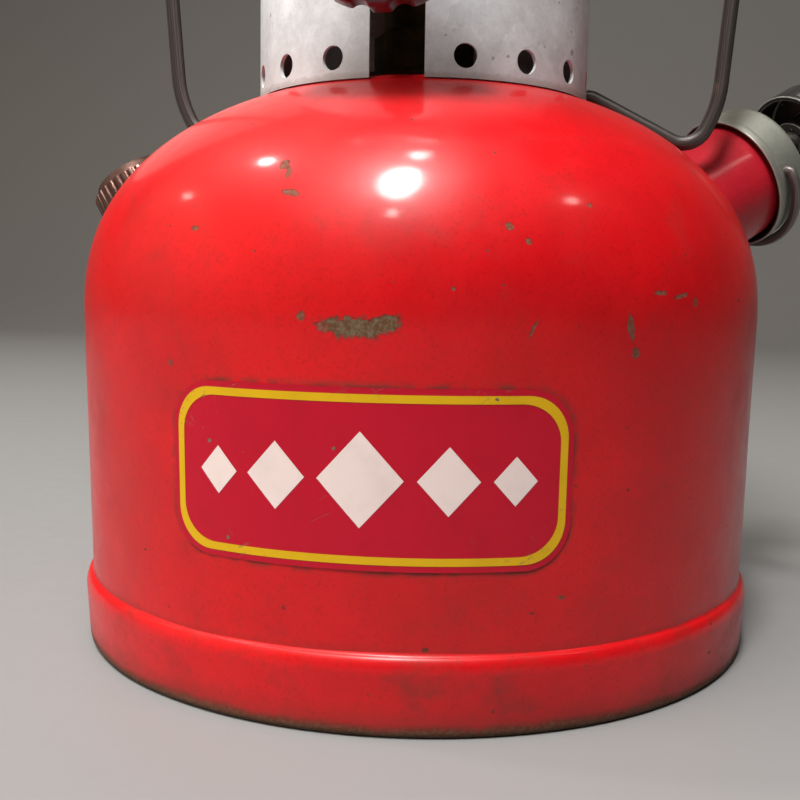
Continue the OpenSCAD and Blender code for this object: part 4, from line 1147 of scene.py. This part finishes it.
class LANTERN_OT_filler(Operator):
    """Finishes the fluted filler cap, its neck and its gasket"""

    bl_idname = "lantern.filler"
    bl_label = "Filler"

    def execute(self, context):
        colours = context.scene.lantern_colours
        # The cap's nickel is given a dark reddish tone: a painted reflection of the red fount, together with
        # painted shade.
        plated = bright_metal("filler nickel with painted red reflection", (0.21, 0.12, 0.10), (0.07, 0.03, 0.022), 0.8, 0.3)
        brass = bright_metal("filler brass", colours.brass, (0.10, 0.07, 0.035), 0.8, 0.38)
        rubber = plain_body("gasket rubber", colours.rubber, (0.012, 0.012, 0.012), 300.0, 0.75, 0.0001)
        dress(brass, "filler_neck")
        dress(rubber, "filler_gasket")
        dress(plated, "filler_cap", soften=0.0003)
        return {"FINISHED"}


def cap_profile(sizes):
    """The pump cap: a skin over the barrel's end, a wider mouth below it and a boss round the rod."""
    top, foot, outer = sizes.cap_top, sizes.cap_foot, sizes.cap_radius
    bore, mouth = sizes.barrel + 0.0001, outer - 0.0007
    boss, rod_hole = sizes.rod + 0.0026, sizes.rod + 0.00006
    roof, step, boss_top = top - 0.0015, foot + 0.0024, top + 0.0016
    return eased([(rod_hole, roof, 0.0), (bore, roof, 0.0006), (bore, step, 0.0), (mouth, step, 0.0003),
                  (mouth, foot, 0.0002), (outer, foot, 0.0004), (outer, foot + 0.0018, 0.0004),
                  (outer - 0.0003, foot + 0.0022, 0.0004), (outer - 0.0002, top, 0.0016),
                  (boss, top + 0.0001, 0.0006), (boss, boss_top, 0.0006), (rod_hole, boss_top, 0.0003)])


def knob_profile(sizes):
    """The pump knob: a dished top with its thumb hole, a thin wall and a hub round the rod."""
    top, foot, outer, thumb = sizes.knob_top, sizes.knob_foot, sizes.knob_radius, sizes.thumb_hole
    wall, hub, rod_hole = outer - 0.0012, sizes.rod + 0.002, sizes.rod + 0.0001
    dish, roof, rod_end = top - 0.0007, top - 0.0019, top - 0.002
    return eased([(thumb, rod_end, 0.0), (thumb, dish, 0.0004), (outer - 0.0032, dish, 0.001),
                  (outer - 0.0022, top, 0.0007), (outer, top, 0.0013), (outer, foot + 0.0014, 0.0006),
                  (outer, foot, 0.0006), (wall, foot, 0.0004), (wall, roof, 0.001), (hub, roof, 0.0006),
                  (hub, foot, 0.0004), (rod_hole, foot, 0.0), (rod_hole, rod_end, 0.0)])


def clip_path(sizes, seat, count=40):
    """The clip's wire: round the cap, with its two ends bent inwards."""
    half, level = sizes.clip_half, sizes.clip_level

    def bent_in(tip, corner, after):
        return [*(tip.lerp(corner, k / 6) for k in range(5)), corner.lerp(tip, 0.12).lerp(after, 0.18)]

    arc = [seat @ spun(half * (k / count * 2 - 1), sizes.clip_radius, level) for k in range(count + 1)]
    tips = [seat @ spun(side * half, sizes.barrel - 0.001, level) for side in (-1, 1)]
    ends = bent_in(tips[0], arc[0], arc[1]), bent_in(tips[1], arc[-1], arc[-2])
    return [*ends[0], *arc[2:-2], *reversed(ends[1])]


class LANTERN_OT_pump(Operator):
    """Builds the pump cap, knob and clip, and finishes the barrel, rod and inner works"""

    bl_idname = "lantern.pump"
    bl_label = "Pump"

    def execute(self, context):
        sizes, colours = context.scene.lantern_fittings, context.scene.lantern_colours
        seat = axis_seat(JOINTS["knob_turn"])
        crimson = enamel("barrel enamel", colours, colours.crimson, toned(colours.crimson, 0.72), 0.4,
                         film=0.2)
        dress(crimson, "pump_tube")
        # The cap's mouth gets painted shade, coloured near black.
        zinc = coated_sheet("zinc", colours.zinc, 210.0, dull=0.5,
                            mouth=(seat, sizes.cap_radius - 0.0003, sizes.cap_foot + 0.003))

        def hammered(spin, radius, height):
            wave = noise.noise(spun(spin, radius, height) * 210.0)
            return radius + 0.00009 * wave * (radius > sizes.barrel), height

        cap = lathe("pump_cap_zinc", cap_profile(sizes), seat, 160, hammered)
        add_piece(cap, zinc, "root", "zinc", "pump_cap")
        # The knob's near-black colour is painted shade of its shaded side. Its lighter rubbed rims are wear
        # and also a painted highlight of the lit top edge.
        knob_paint_and_shade = worn_paint("knob paint and painted shade", colours.knob, (0.30, 0.31, 0.27), 0.42, 0.62)
        knob = lathe("pump_knob_turned", knob_profile(sizes), seat, 144)
        add_piece(knob, knob_paint_and_shade, "plunger", "zinc", "pump_knob")
        steel = drawn_wire("clip wire", toned(colours.steel, 2.0), colours)
        clip = wire("pump_clip_wire", clip_path(sizes, seat), sizes.clip_wire, 16)
        add_piece(clip, steel, "root", "wire_steel", "pump_clip")
        nickel = bright_metal("rod nickel", colours.nickel, (0.16, 0.13, 0.09), 0.45, 0.26)
        plate = bright_metal("retainer steel", toned(colours.steel, 1.6), colours.rust, 0.4, 0.42)
        leather = plain_body("pump leather", colours.leather, (0.09, 0.04, 0.018), 260.0, 0.7, 0.0002)
        brass = bright_metal("pump brass", colours.brass, (0.10, 0.07, 0.035), 0.6, 0.36)
        dress(nickel, "plunger_rod")
        dress(plate, "leather_retainer")
        dress(leather, "pump_leather")
        dress(brass, "check_valve", "air_stem")
        return {"FINISHED"}


def wheel_profile(sizes):
    """The valve wheel: hub, web and a round-edged rim."""
    back, front, reach = sizes.wheel_back, sizes.wheel_back + sizes.wheel_thickness, sizes.wheel_radius
    stem_hole, screw_hole, hub, web_thick = 0.0026, 0.0017, 0.0065, 0.003
    rim, rim_back, dish = reach - 0.005, back + 0.001, front - 0.001
    web = dish - web_thick
    return eased([(stem_hole, back, 0.0003), (hub, back, 0.0006), (hub, web, 0.0008), (rim, web, 0.001),
                  (rim, rim_back, 0.0011), (reach, rim_back, 0.0018), (reach, front, 0.0021),
                  (rim, front, 0.0016), (rim - 0.0012, dish, 0.001), (hub + 0.001, dish, 0.0007),
                  (hub, front, 0.0006), (screw_hole, front, 0.0)], 7)


class LANTERN_OT_valve(Operator):
    """Builds the scalloped valve wheel, and finishes its screw and the brass valve"""

    bl_idname = "lantern.valve"
    bl_label = "Valve"

    def execute(self, context):
        sizes, colours = context.scene.lantern_fittings, context.scene.lantern_colours
        # The valve's brass is darkened nearly to black: painted shade in the collar's slot.
        brass = bright_metal("valve brass darkened as painted shade", toned(colours.brass, 0.22), (0.03, 0.022, 0.014), 0.9, 0.42)
        dress(brass, "valve_boss", "valve_body", "packing_nut", soften=0.0003)
        dress(brass, "valve_stem", "pickup_tube")
        reach, scoop = sizes.wheel_radius, sizes.scallop
        centre, pitch = reach + scoop * 0.55, 2 * math.pi / sizes.scallops
        scooped_from, scooped_over = reach - 0.0042, 0.003

        def scalloped(spin, radius, height):
            off = ((spin / pitch) % 1.0 - 0.5) * pitch
            side = centre * math.sin(off)
            if abs(side) >= scoop:
                return radius, height
            cut = max(0.0, reach - (centre * math.cos(off) - math.sqrt(scoop ** 2 - side ** 2)))
            share = max(0.0, min(1.0, (radius - scooped_from) / scooped_over))
            return radius - cut * share * share * (3 - 2 * share), height

        paint = worn_paint("wheel maroon", colours.maroon, (0.07, 0.055, 0.05), 0.3, 0.24)
        wheel = lathe("valve_wheel_scalloped", wheel_profile(sizes), stem_seat(sizes), 320, scalloped)
        add_piece(wheel, paint, "valve", "maroon_enamel", "valve_wheel")
        nickel = bright_metal("screw nickel", colours.nickel, (0.14, 0.11, 0.08), 0.5, 0.3)
        dress(nickel, "wheel_screw", soften=0.0002)
        return {"FINISHED"}


class LANTERN_OT_collar(Operator):
    """Finishes the galvanised collar and the globe rest"""

    bl_idname = "lantern.collar"
    bl_label = "Collar"

    def execute(self, context):
        colours = context.scene.lantern_colours
        foot = low("collar").z
        sheet = coated_sheet("galvanised collar", colours.galvanised, 120.0,
                             ((foot, foot + 0.004, 0.55), (foot, foot + 0.03, 0.3)), dull=0.4, metal=0.12)
        dress(sheet, "collar")
        rest = coated_sheet("galvanised rest", colours.galvanised, 120.0, dull=0.4)
        dress(rest, "globe_rest", soften=0.0003)
        return {"FINISHED"}


# Burner, mantle, globe, ventilator and bail

class LANTERN_OT_burner(Operator):
    """Finishes the burner's frame, tubes and fittings"""

    bl_idname = "lantern.burner"
    bl_label = "Burner"

    def execute(self, context):
        colours = context.scene.lantern_colours
        burnt = coated_sheet("burnt sheet", toned(colours.galvanised, 0.7), 150.0, dull=0.46)
        dress(burnt, "burner_frame", "burner_manifold", soften=0.0003)
        dress(burnt, "air_tube")
        brass = bright_metal("burner brass", colours.brass, (0.08, 0.055, 0.035), 0.85, 0.4)
        dress(brass, "generator", "generator_nut", "cleaning_rod", soften=0.0002)
        clay = plain_body("burner ceramic", colours.ceramic, (0.36, 0.28, 0.2), 210.0, 0.7, 0.0002)
        dress(clay, "burner_cap", soften=0.0003)
        return {"FINISHED"}


def mantle_profile(sizes, foot, tall, rows=72):
    """The hanging mantle: a round foot, widest at the belly and drawn in to its neck."""
    belly, widest, neck, inside = sizes.mantle_belly, sizes.mantle_radius, sizes.mantle_neck, 0.97
    profile = []
    for u in (i / rows for i in range(rows + 1)):
        if u < belly:
            radius = widest * math.sqrt(max(0.0, 1 - (1 - u / belly) ** 2))
        else:
            draw = max(0.0, math.cos(math.pi / 2 * (u - belly) / (1 - belly)))
            radius = neck + (widest - neck) * draw ** 1.4
        profile.append((radius * inside, foot + u * tall, 0.0))
    return profile


class LANTERN_OT_mantle(Operator):
    """Builds the knitted mantle, gathered where it is tied to the burner cap"""

    bl_idname = "lantern.mantle"
    bl_label = "Mantle"

    def execute(self, context):
        sizes, colours = context.scene.lantern_fittings, context.scene.lantern_colours
        foot, cloth, wales, rows = low("mantle").z, 0.0004, 44, 40
        tall = high("mantle").z - foot
        profile = mantle_profile(sizes, foot, tall)
        lining = [(max(0.0, radius - cloth), height + cloth * (1 - i / (len(profile) - 1)), 0.0)
                  for i, (radius, height, _) in enumerate(profile)]

        def gathered(spin, radius, height):
            u = (height - foot) / tall
            folds = 0.035 * u * u * math.cos(13 * spin + 2.0 * math.sin(2 * spin))
            slack = 0.03 * noise.noise(spun(spin, 3, 70 * height))
            return radius * (1 - abs(folds) - 0.03 + slack * (1 - u)), height

        mesh = lathe("mantle_knit", [*profile, *reversed(lining)], steps=160, shape=gathered)
        cloth_finish = knitted("mantle cloth", colours, wales, rows)
        piece = add_piece(mesh, cloth_finish, "root", "mantle_cloth", "mantle")
        return {"FINISHED"}


def globe_profile(sizes, foot, top, count=40, eased_from=0.988):
    """The swelling glass wall, with rounded ends."""
    half, bulge, glass = (top - foot) / 2, sizes.globe_bulge, sizes.glass
    arc = (half ** 2 + bulge ** 2) / (2 * bulge)
    inset, wall_end = sizes.globe_end + bulge - arc, half * eased_from

    def radius(z, depth):
        return inset + math.sqrt((arc - depth) ** 2 - z ** 2)

    def side(depth, way):
        levels = [way * wall_end * (2 * i / count - 1) for i in range(count + 1)]
        return [(radius(z, depth), foot + half + z, 0.0) for z in levels]

    def lip(level, way):
        middle = (radius(wall_end, 0.0) + radius(wall_end, glass)) / 2
        return [(middle + s * way * glass * 0.3, level, 0.0) for s in (1, -1)]

    return [*side(0.0, 1), *lip(top, 1), *side(glass, -1), *lip(foot, -1)]


class LANTERN_OT_globe(Operator):
    """Builds the glass globe"""

    bl_idname = "lantern.globe"
    bl_label = "Globe"

    def execute(self, context):
        sizes, colours = context.scene.lantern_fittings, context.scene.lantern_colours
        mesh = lathe("globe_glass", globe_profile(sizes, low("globe").z, high("globe").z), steps=144)
        add_piece(mesh, globe_glass("clear glass", colours), "root", "clear_glass", "globe")
        return {"FINISHED"}


def hood_profile(sizes, crown, steps=28, rolls=16):
    """The ventilator's hood: a flat crown round its bolt hole, a curved side and a rolled brim."""
    foot, bore = crown - sizes.hood_sheet, 0.0026
    wide = sizes.hood_radius - sizes.hood_flat

    def curve(a, out):
        drop = sizes.hood_drop * (1 - math.cos(a))
        return sizes.hood_flat + (wide + out) * math.sin(a), foot - drop + out * math.cos(a), 0.0

    turns = [math.pi / 2 * i / steps for i in range(steps)]
    outer = [curve(a, sizes.hood_sheet) for a in turns]
    inner = [curve(a, 0.0) for a in reversed(turns)]
    brim, level = sizes.hood_radius + sizes.hood_sheet / 2, foot - sizes.hood_drop
    roll = [(brim + sizes.brim_roll * math.cos(a), level + sizes.brim_roll * math.sin(a), 0.8)
            for a in (math.radians(70 - 320 * k / rolls) for k in range(rolls + 1))]
    flat = [(radius, crown, 0.0) for radius in (bore, 0.012, 0.02)]
    return [(bore, foot, 0.0), *flat, *outer, *roll, *inner]


def ball_profile(sizes, level, steps=36):
    """The ball nut, from its flat foot to its top."""
    foot = low("ball_nut").z
    start = math.asin(max(-1.0, (foot - level) / sizes.ball))
    ball = [(0.0, foot, 0.0)]
    for k in range(steps + 1):
        a = start + (math.pi / 2 - start) * k / steps
        radius = sizes.ball * math.cos(a) if k < steps else 0.0
        ball.append((radius, level + sizes.ball * math.sin(a), 0.6 if k < 2 else 0.0))
    return ball


class LANTERN_OT_ventilator(Operator):
    """Builds the enamelled hood and the ball nut, and finishes the ventilator's base"""

    bl_idname = "lantern.ventilator"
    bl_label = "Ventilator"

    def execute(self, context):
        sizes, colours = context.scene.lantern_fittings, context.scene.lantern_colours
        sheet = coated_sheet("vent sheet", toned(colours.galvanised, 0.75), 140.0, dull=0.45)
        dress(sheet, "ventilator_base")
        crown = high("ventilator_hood").z
        hood = lathe("ventilator_hood_enamel", hood_profile(sizes, crown), steps=192)
        paint = enamel("hood enamel", colours, colours.red, colours.deep_red, 0.36,
                       dirty=((crown + 0.004, crown - 0.003, 140.0, 0.35),), flakes=0.5)
        add_piece(hood, paint, "root", "red_enamel", "ventilator_hood")
        nickel = bright_metal("ball nickel", colours.nickel, (0.16, 0.13, 0.09), 0.55, 0.28)
        level = high("ball_nut").z - sizes.ball
        grip_low, grip_half, grip_depth, grips = 0.0016, 0.00143, 0.0003, 30

        def grooved(spin, radius, height):
            held = abs(height - level + grip_low) < grip_half
            return radius - grip_depth * (0.5 + 0.5 * math.cos(grips * spin)) * held, height

        ball = lathe("ball_nut_turned", ball_profile(sizes, level), steps=240, shape=grooved)
        add_piece(ball, nickel, "root", "nickel", "ball_nut")
        return {"FINISHED"}


def bail_path(sizes):
    """The bail's wire: out of the collar, down along the dome, up past the knees and over the top."""
    joint = JOINTS["bail_swing"]
    _, back, level = joint["pos_m"]
    out, top = Vector(joint["axis"]).normalized(), high("bail").z - sizes.bail_wire
    bends, closest, longest = [0, 0.0034, 0.0054, 0.025, 0.060], 0.0002, 0.012

    def leg(side):
        low_bend = sizes.bail_low + side * sizes.bail_set
        height = level + sizes.bail_slope * (low_bend - sizes.bail_elbow)
        half = [(sizes.bail_end, level), (sizes.bail_elbow, level), (low_bend, height),
                (low_bend + sizes.bail_knee_out, height + sizes.bail_knee_rise),
                (low_bend + sizes.bail_spread, top)]
        return [(side * x, z) for x, z in half]

    path = []
    for at in bent(leg(1) + leg(-1)[::-1], bends + bends[::-1]):
        point = Vector((0.0, back, 0.0)) + out * at.x + Vector((0, 0, at.y))
        if not path or (point - path[-1]).length > closest:
            path.append(point)
    dense = path[:1]
    for start, end in zip(path, path[1:]):
        parts = max(1, math.ceil((end - start).length / longest))
        dense.extend(start.lerp(end, k / parts) for k in range(1, parts + 1))
    return dense


class LANTERN_OT_bail(Operator):
    """Bends the wire bail"""

    bl_idname = "lantern.bail"
    bl_label = "Bail"

    def execute(self, context):
        sizes, colours = context.scene.lantern_fittings, context.scene.lantern_colours
        mesh = wire("bail_wire", bail_path(sizes), sizes.bail_wire, 24)
        add_piece(mesh, drawn_wire("bail steel", colours.steel, colours), "bail", "wire_steel", "bail")
        return {"FINISHED"}


# Stage

# Lamps: name, elevation, azimuth, distance, width, height over width, power and colour
LAMPS = (
    ("lamp_front", 67.0, -5.0, 1.10, 0.20, 2.0, 15.5, (1.0, 0.98, 0.96)),
    ("lamp_above", 87.0, 2.0, 1.20, 0.08, 2.4, 2.6, (1.0, 0.98, 0.96)),
    ("lamp_left", 57.0, -95.0, 1.20, 0.06, 1.0, 2.0, (1.0, 0.98, 0.96)),
    ("lamp_left_low", 36.0, -96.0, 1.30, 0.035, 1.0, 0.35, (1.0, 0.96, 0.90)),
    ("lamp_front_low", 49.0, -4.0, 1.30, 0.05, 2.0, 0.9, (1.0, 0.98, 0.96)),
    ("lamp_right", 49.0, 78.0, 1.30, 0.04, 1.0, 0.5, (1.0, 0.96, 0.90)),
    ("lamp_back", 32.0, -151.0, 1.50, 1.00, 1.0, 1.7, (1.0, 0.92, 0.84)),
    ("soft_top", 62.0, -35.0, 1.50, 1.20, 1.0, 15.0, (1.0, 1.0, 1.0)),
    ("soft_left", 18.0, -75.0, 1.50, 1.20, 1.0, 7.5, (1.0, 1.0, 1.0)),
)
# Where the lamps point, and the side that the sky is brightest on
LAMP_AIM = Vector((0.0, -0.04, 0.09))
SKY_GLOW = Vector((-0.62, -0.32, 0.72)).normalized()


class LANTERN_OT_stage(Operator):
    """Sets the pale floor, the soft lights and the camera"""

    bl_idname = "lantern.stage"
    bl_label = "Stage"

    def execute(self, context):
        scene = context.scene
        self.floor(scene)
        self.lamps(scene)
        self.sky(scene)
        self.camera(scene, scene.lantern_stage)
        return {"FINISHED"}

    def floor(self, scene):
        """A floor that bends up into a backdrop."""
        pale = scene.lantern_colours.floor
        material, tree, shader, place = start_finish("pale floor")
        grain = cloud(tree, place, 130.0, 5.0, 0.6)
        feed_all(tree, shader, {"Base Color": mix(tree, span(tree, grain, 0.0, 0.5), pale, toned(pale, 0.92)),
                                "Roughness": span(tree, grain, 0.5, 0.62)})
        set_bump(tree, shader, grain, 0.0002, 0.3)
        half, near, back, bend, top, steps = 4.0, -3.0, 1.2, 0.8, 3.2, 16
        turns = [math.pi / 2 * k / steps for k in range(steps + 1)]
        curve = [(back + bend * math.sin(a), bend - bend * math.cos(a)) for a in turns]
        profile = [(near, 0.0), *curve, (back + bend, top)]
        verts = [(x, y, z) for y, z in profile for x in (half, -half)]
        mesh = finish_mesh("pale_floor", verts, grid_faces(len(profile), 1))
        if mesh.polygons[0].normal.z < 0:
            mesh.flip_normals()
        mesh.materials.append(material)
        floor = bpy.data.objects.new("pale_floor", mesh)
        scene.collection.objects.link(floor)

    def lamps(self, scene):
        """Lamps aimed at the lantern. The soft ones don't show in gloss or through glass."""
        for name, elevation, azimuth, reach, width, tall, power, shade in LAMPS:
            el, az = math.radians(elevation), math.radians(azimuth)
            way = Vector((math.cos(el) * math.sin(az), -math.cos(el) * math.cos(az), math.sin(el)))
            data = bpy.data.lights.new(name, "AREA")
            data.shape = "ELLIPSE"
            data.size, data.size_y, data.energy, data.color = width, width * tall, power, shade
            lamp = bpy.data.objects.new(name, data)
            lamp.location = LAMP_AIM + way * reach
            lamp.rotation_mode = "QUATERNION"
            lamp.rotation_quaternion = (-way).to_track_quat("-Z", "Y")
            lamp.visible_glossy = lamp.visible_transmission = name.startswith("lamp")
            scene.collection.objects.link(lamp)

    def sky(self, scene):
        """A dim light all round, warm and brighter from the upper left."""
        world = bpy.data.worlds.new("studio")
        world.use_nodes = True
        tree = world.node_tree
        way = add_node(tree, "TexCoord").outputs["Generated"]
        glow = fade(tree, vector_sums(tree, "DOT_PRODUCT", way, SKY_GLOW), 0.35, 1.0)
        feed_all(tree, tree.nodes["Background"],
                 {"Color": mix(tree, glow, (0.045, 0.045, 0.047), (1.0, 0.74, 0.46)),
                  "Strength": scene.lantern_stage.sky})
        scene.world = world
        scene.view_settings.view_transform = "Standard"

    def camera(self, scene, sizes):
        """The camera, turned round the lantern's axis to its azimuth."""
        ahead = math.cos(sizes.pitch)
        facing = Vector((math.sin(sizes.yaw) * ahead, math.cos(sizes.yaw) * ahead, -math.sin(sizes.pitch)))
        level = Vector((math.cos(sizes.yaw), -math.sin(sizes.yaw), 0.0))
        rise = level.cross(facing)
        right = level * math.cos(sizes.roll) + rise * math.sin(sizes.roll)
        upward = rise * math.cos(sizes.roll) - level * math.sin(sizes.roll)
        placed = Matrix((right, upward, -facing)).transposed().to_4x4()
        placed.translation = Vector((0.0, -sizes.distance, sizes.height))
        data = bpy.data.cameras.new("camera")
        data.sensor_width = SENSOR_MM
        data.lens = sizes.focal / IMAGE_SIDE * SENSOR_MM
        data.clip_start = 0.01
        camera = bpy.data.objects.new("camera", data)
        camera.matrix_world = Matrix.Rotation(sizes.azimuth, 4, "Z") @ placed
        scene.collection.objects.link(camera)
        scene.camera = camera


OPERATORS = (
    LANTERN_OT_fount, LANTERN_OT_label, LANTERN_OT_filler, LANTERN_OT_pump, LANTERN_OT_valve,
    LANTERN_OT_collar, LANTERN_OT_burner, LANTERN_OT_mantle, LANTERN_OT_globe, LANTERN_OT_ventilator,
    LANTERN_OT_bail, LANTERN_OT_stage,
)


class LANTERN_PT_pieces(Panel):
    """Lists the lantern's pieces"""

    bl_label = "Gas lantern"
    bl_idname = "LANTERN_PT_pieces"
    bl_space_type = "VIEW_3D"
    bl_region_type = "UI"
    bl_category = "Lantern"

    def draw(self, context):
        for operator in OPERATORS:
            self.layout.operator(operator.bl_idname)


GROUPS = {
    "lantern_fount": FountSizes,
    "lantern_label": LabelSizes,
    "lantern_fittings": FittingSizes,
    "lantern_colours": LanternColours,
    "lantern_stage": StageSizes,
}


def register():
    for group in (*GROUPS.values(), *OPERATORS, LANTERN_PT_pieces):
        bpy.utils.register_class(group)
    for name, group in GROUPS.items():
        setattr(bpy.types.Scene, name, PointerProperty(type=group))


def unregister():
    for name in GROUPS:
        delattr(bpy.types.Scene, name)
    for group in reversed((*GROUPS.values(), *OPERATORS, LANTERN_PT_pieces)):
        bpy.utils.unregister_class(group)


def main():
    register()
    bpy.ops.lantern.fount()
    bpy.ops.lantern.label()
    bpy.ops.lantern.filler()
    bpy.ops.lantern.pump()
    bpy.ops.lantern.valve()
    bpy.ops.lantern.collar()
    bpy.ops.lantern.burner()
    bpy.ops.lantern.mantle()
    bpy.ops.lantern.globe()
    bpy.ops.lantern.ventilator()
    bpy.ops.lantern.bail()
    bpy.ops.lantern.stage()


if __name__ == "__main__":
    main()
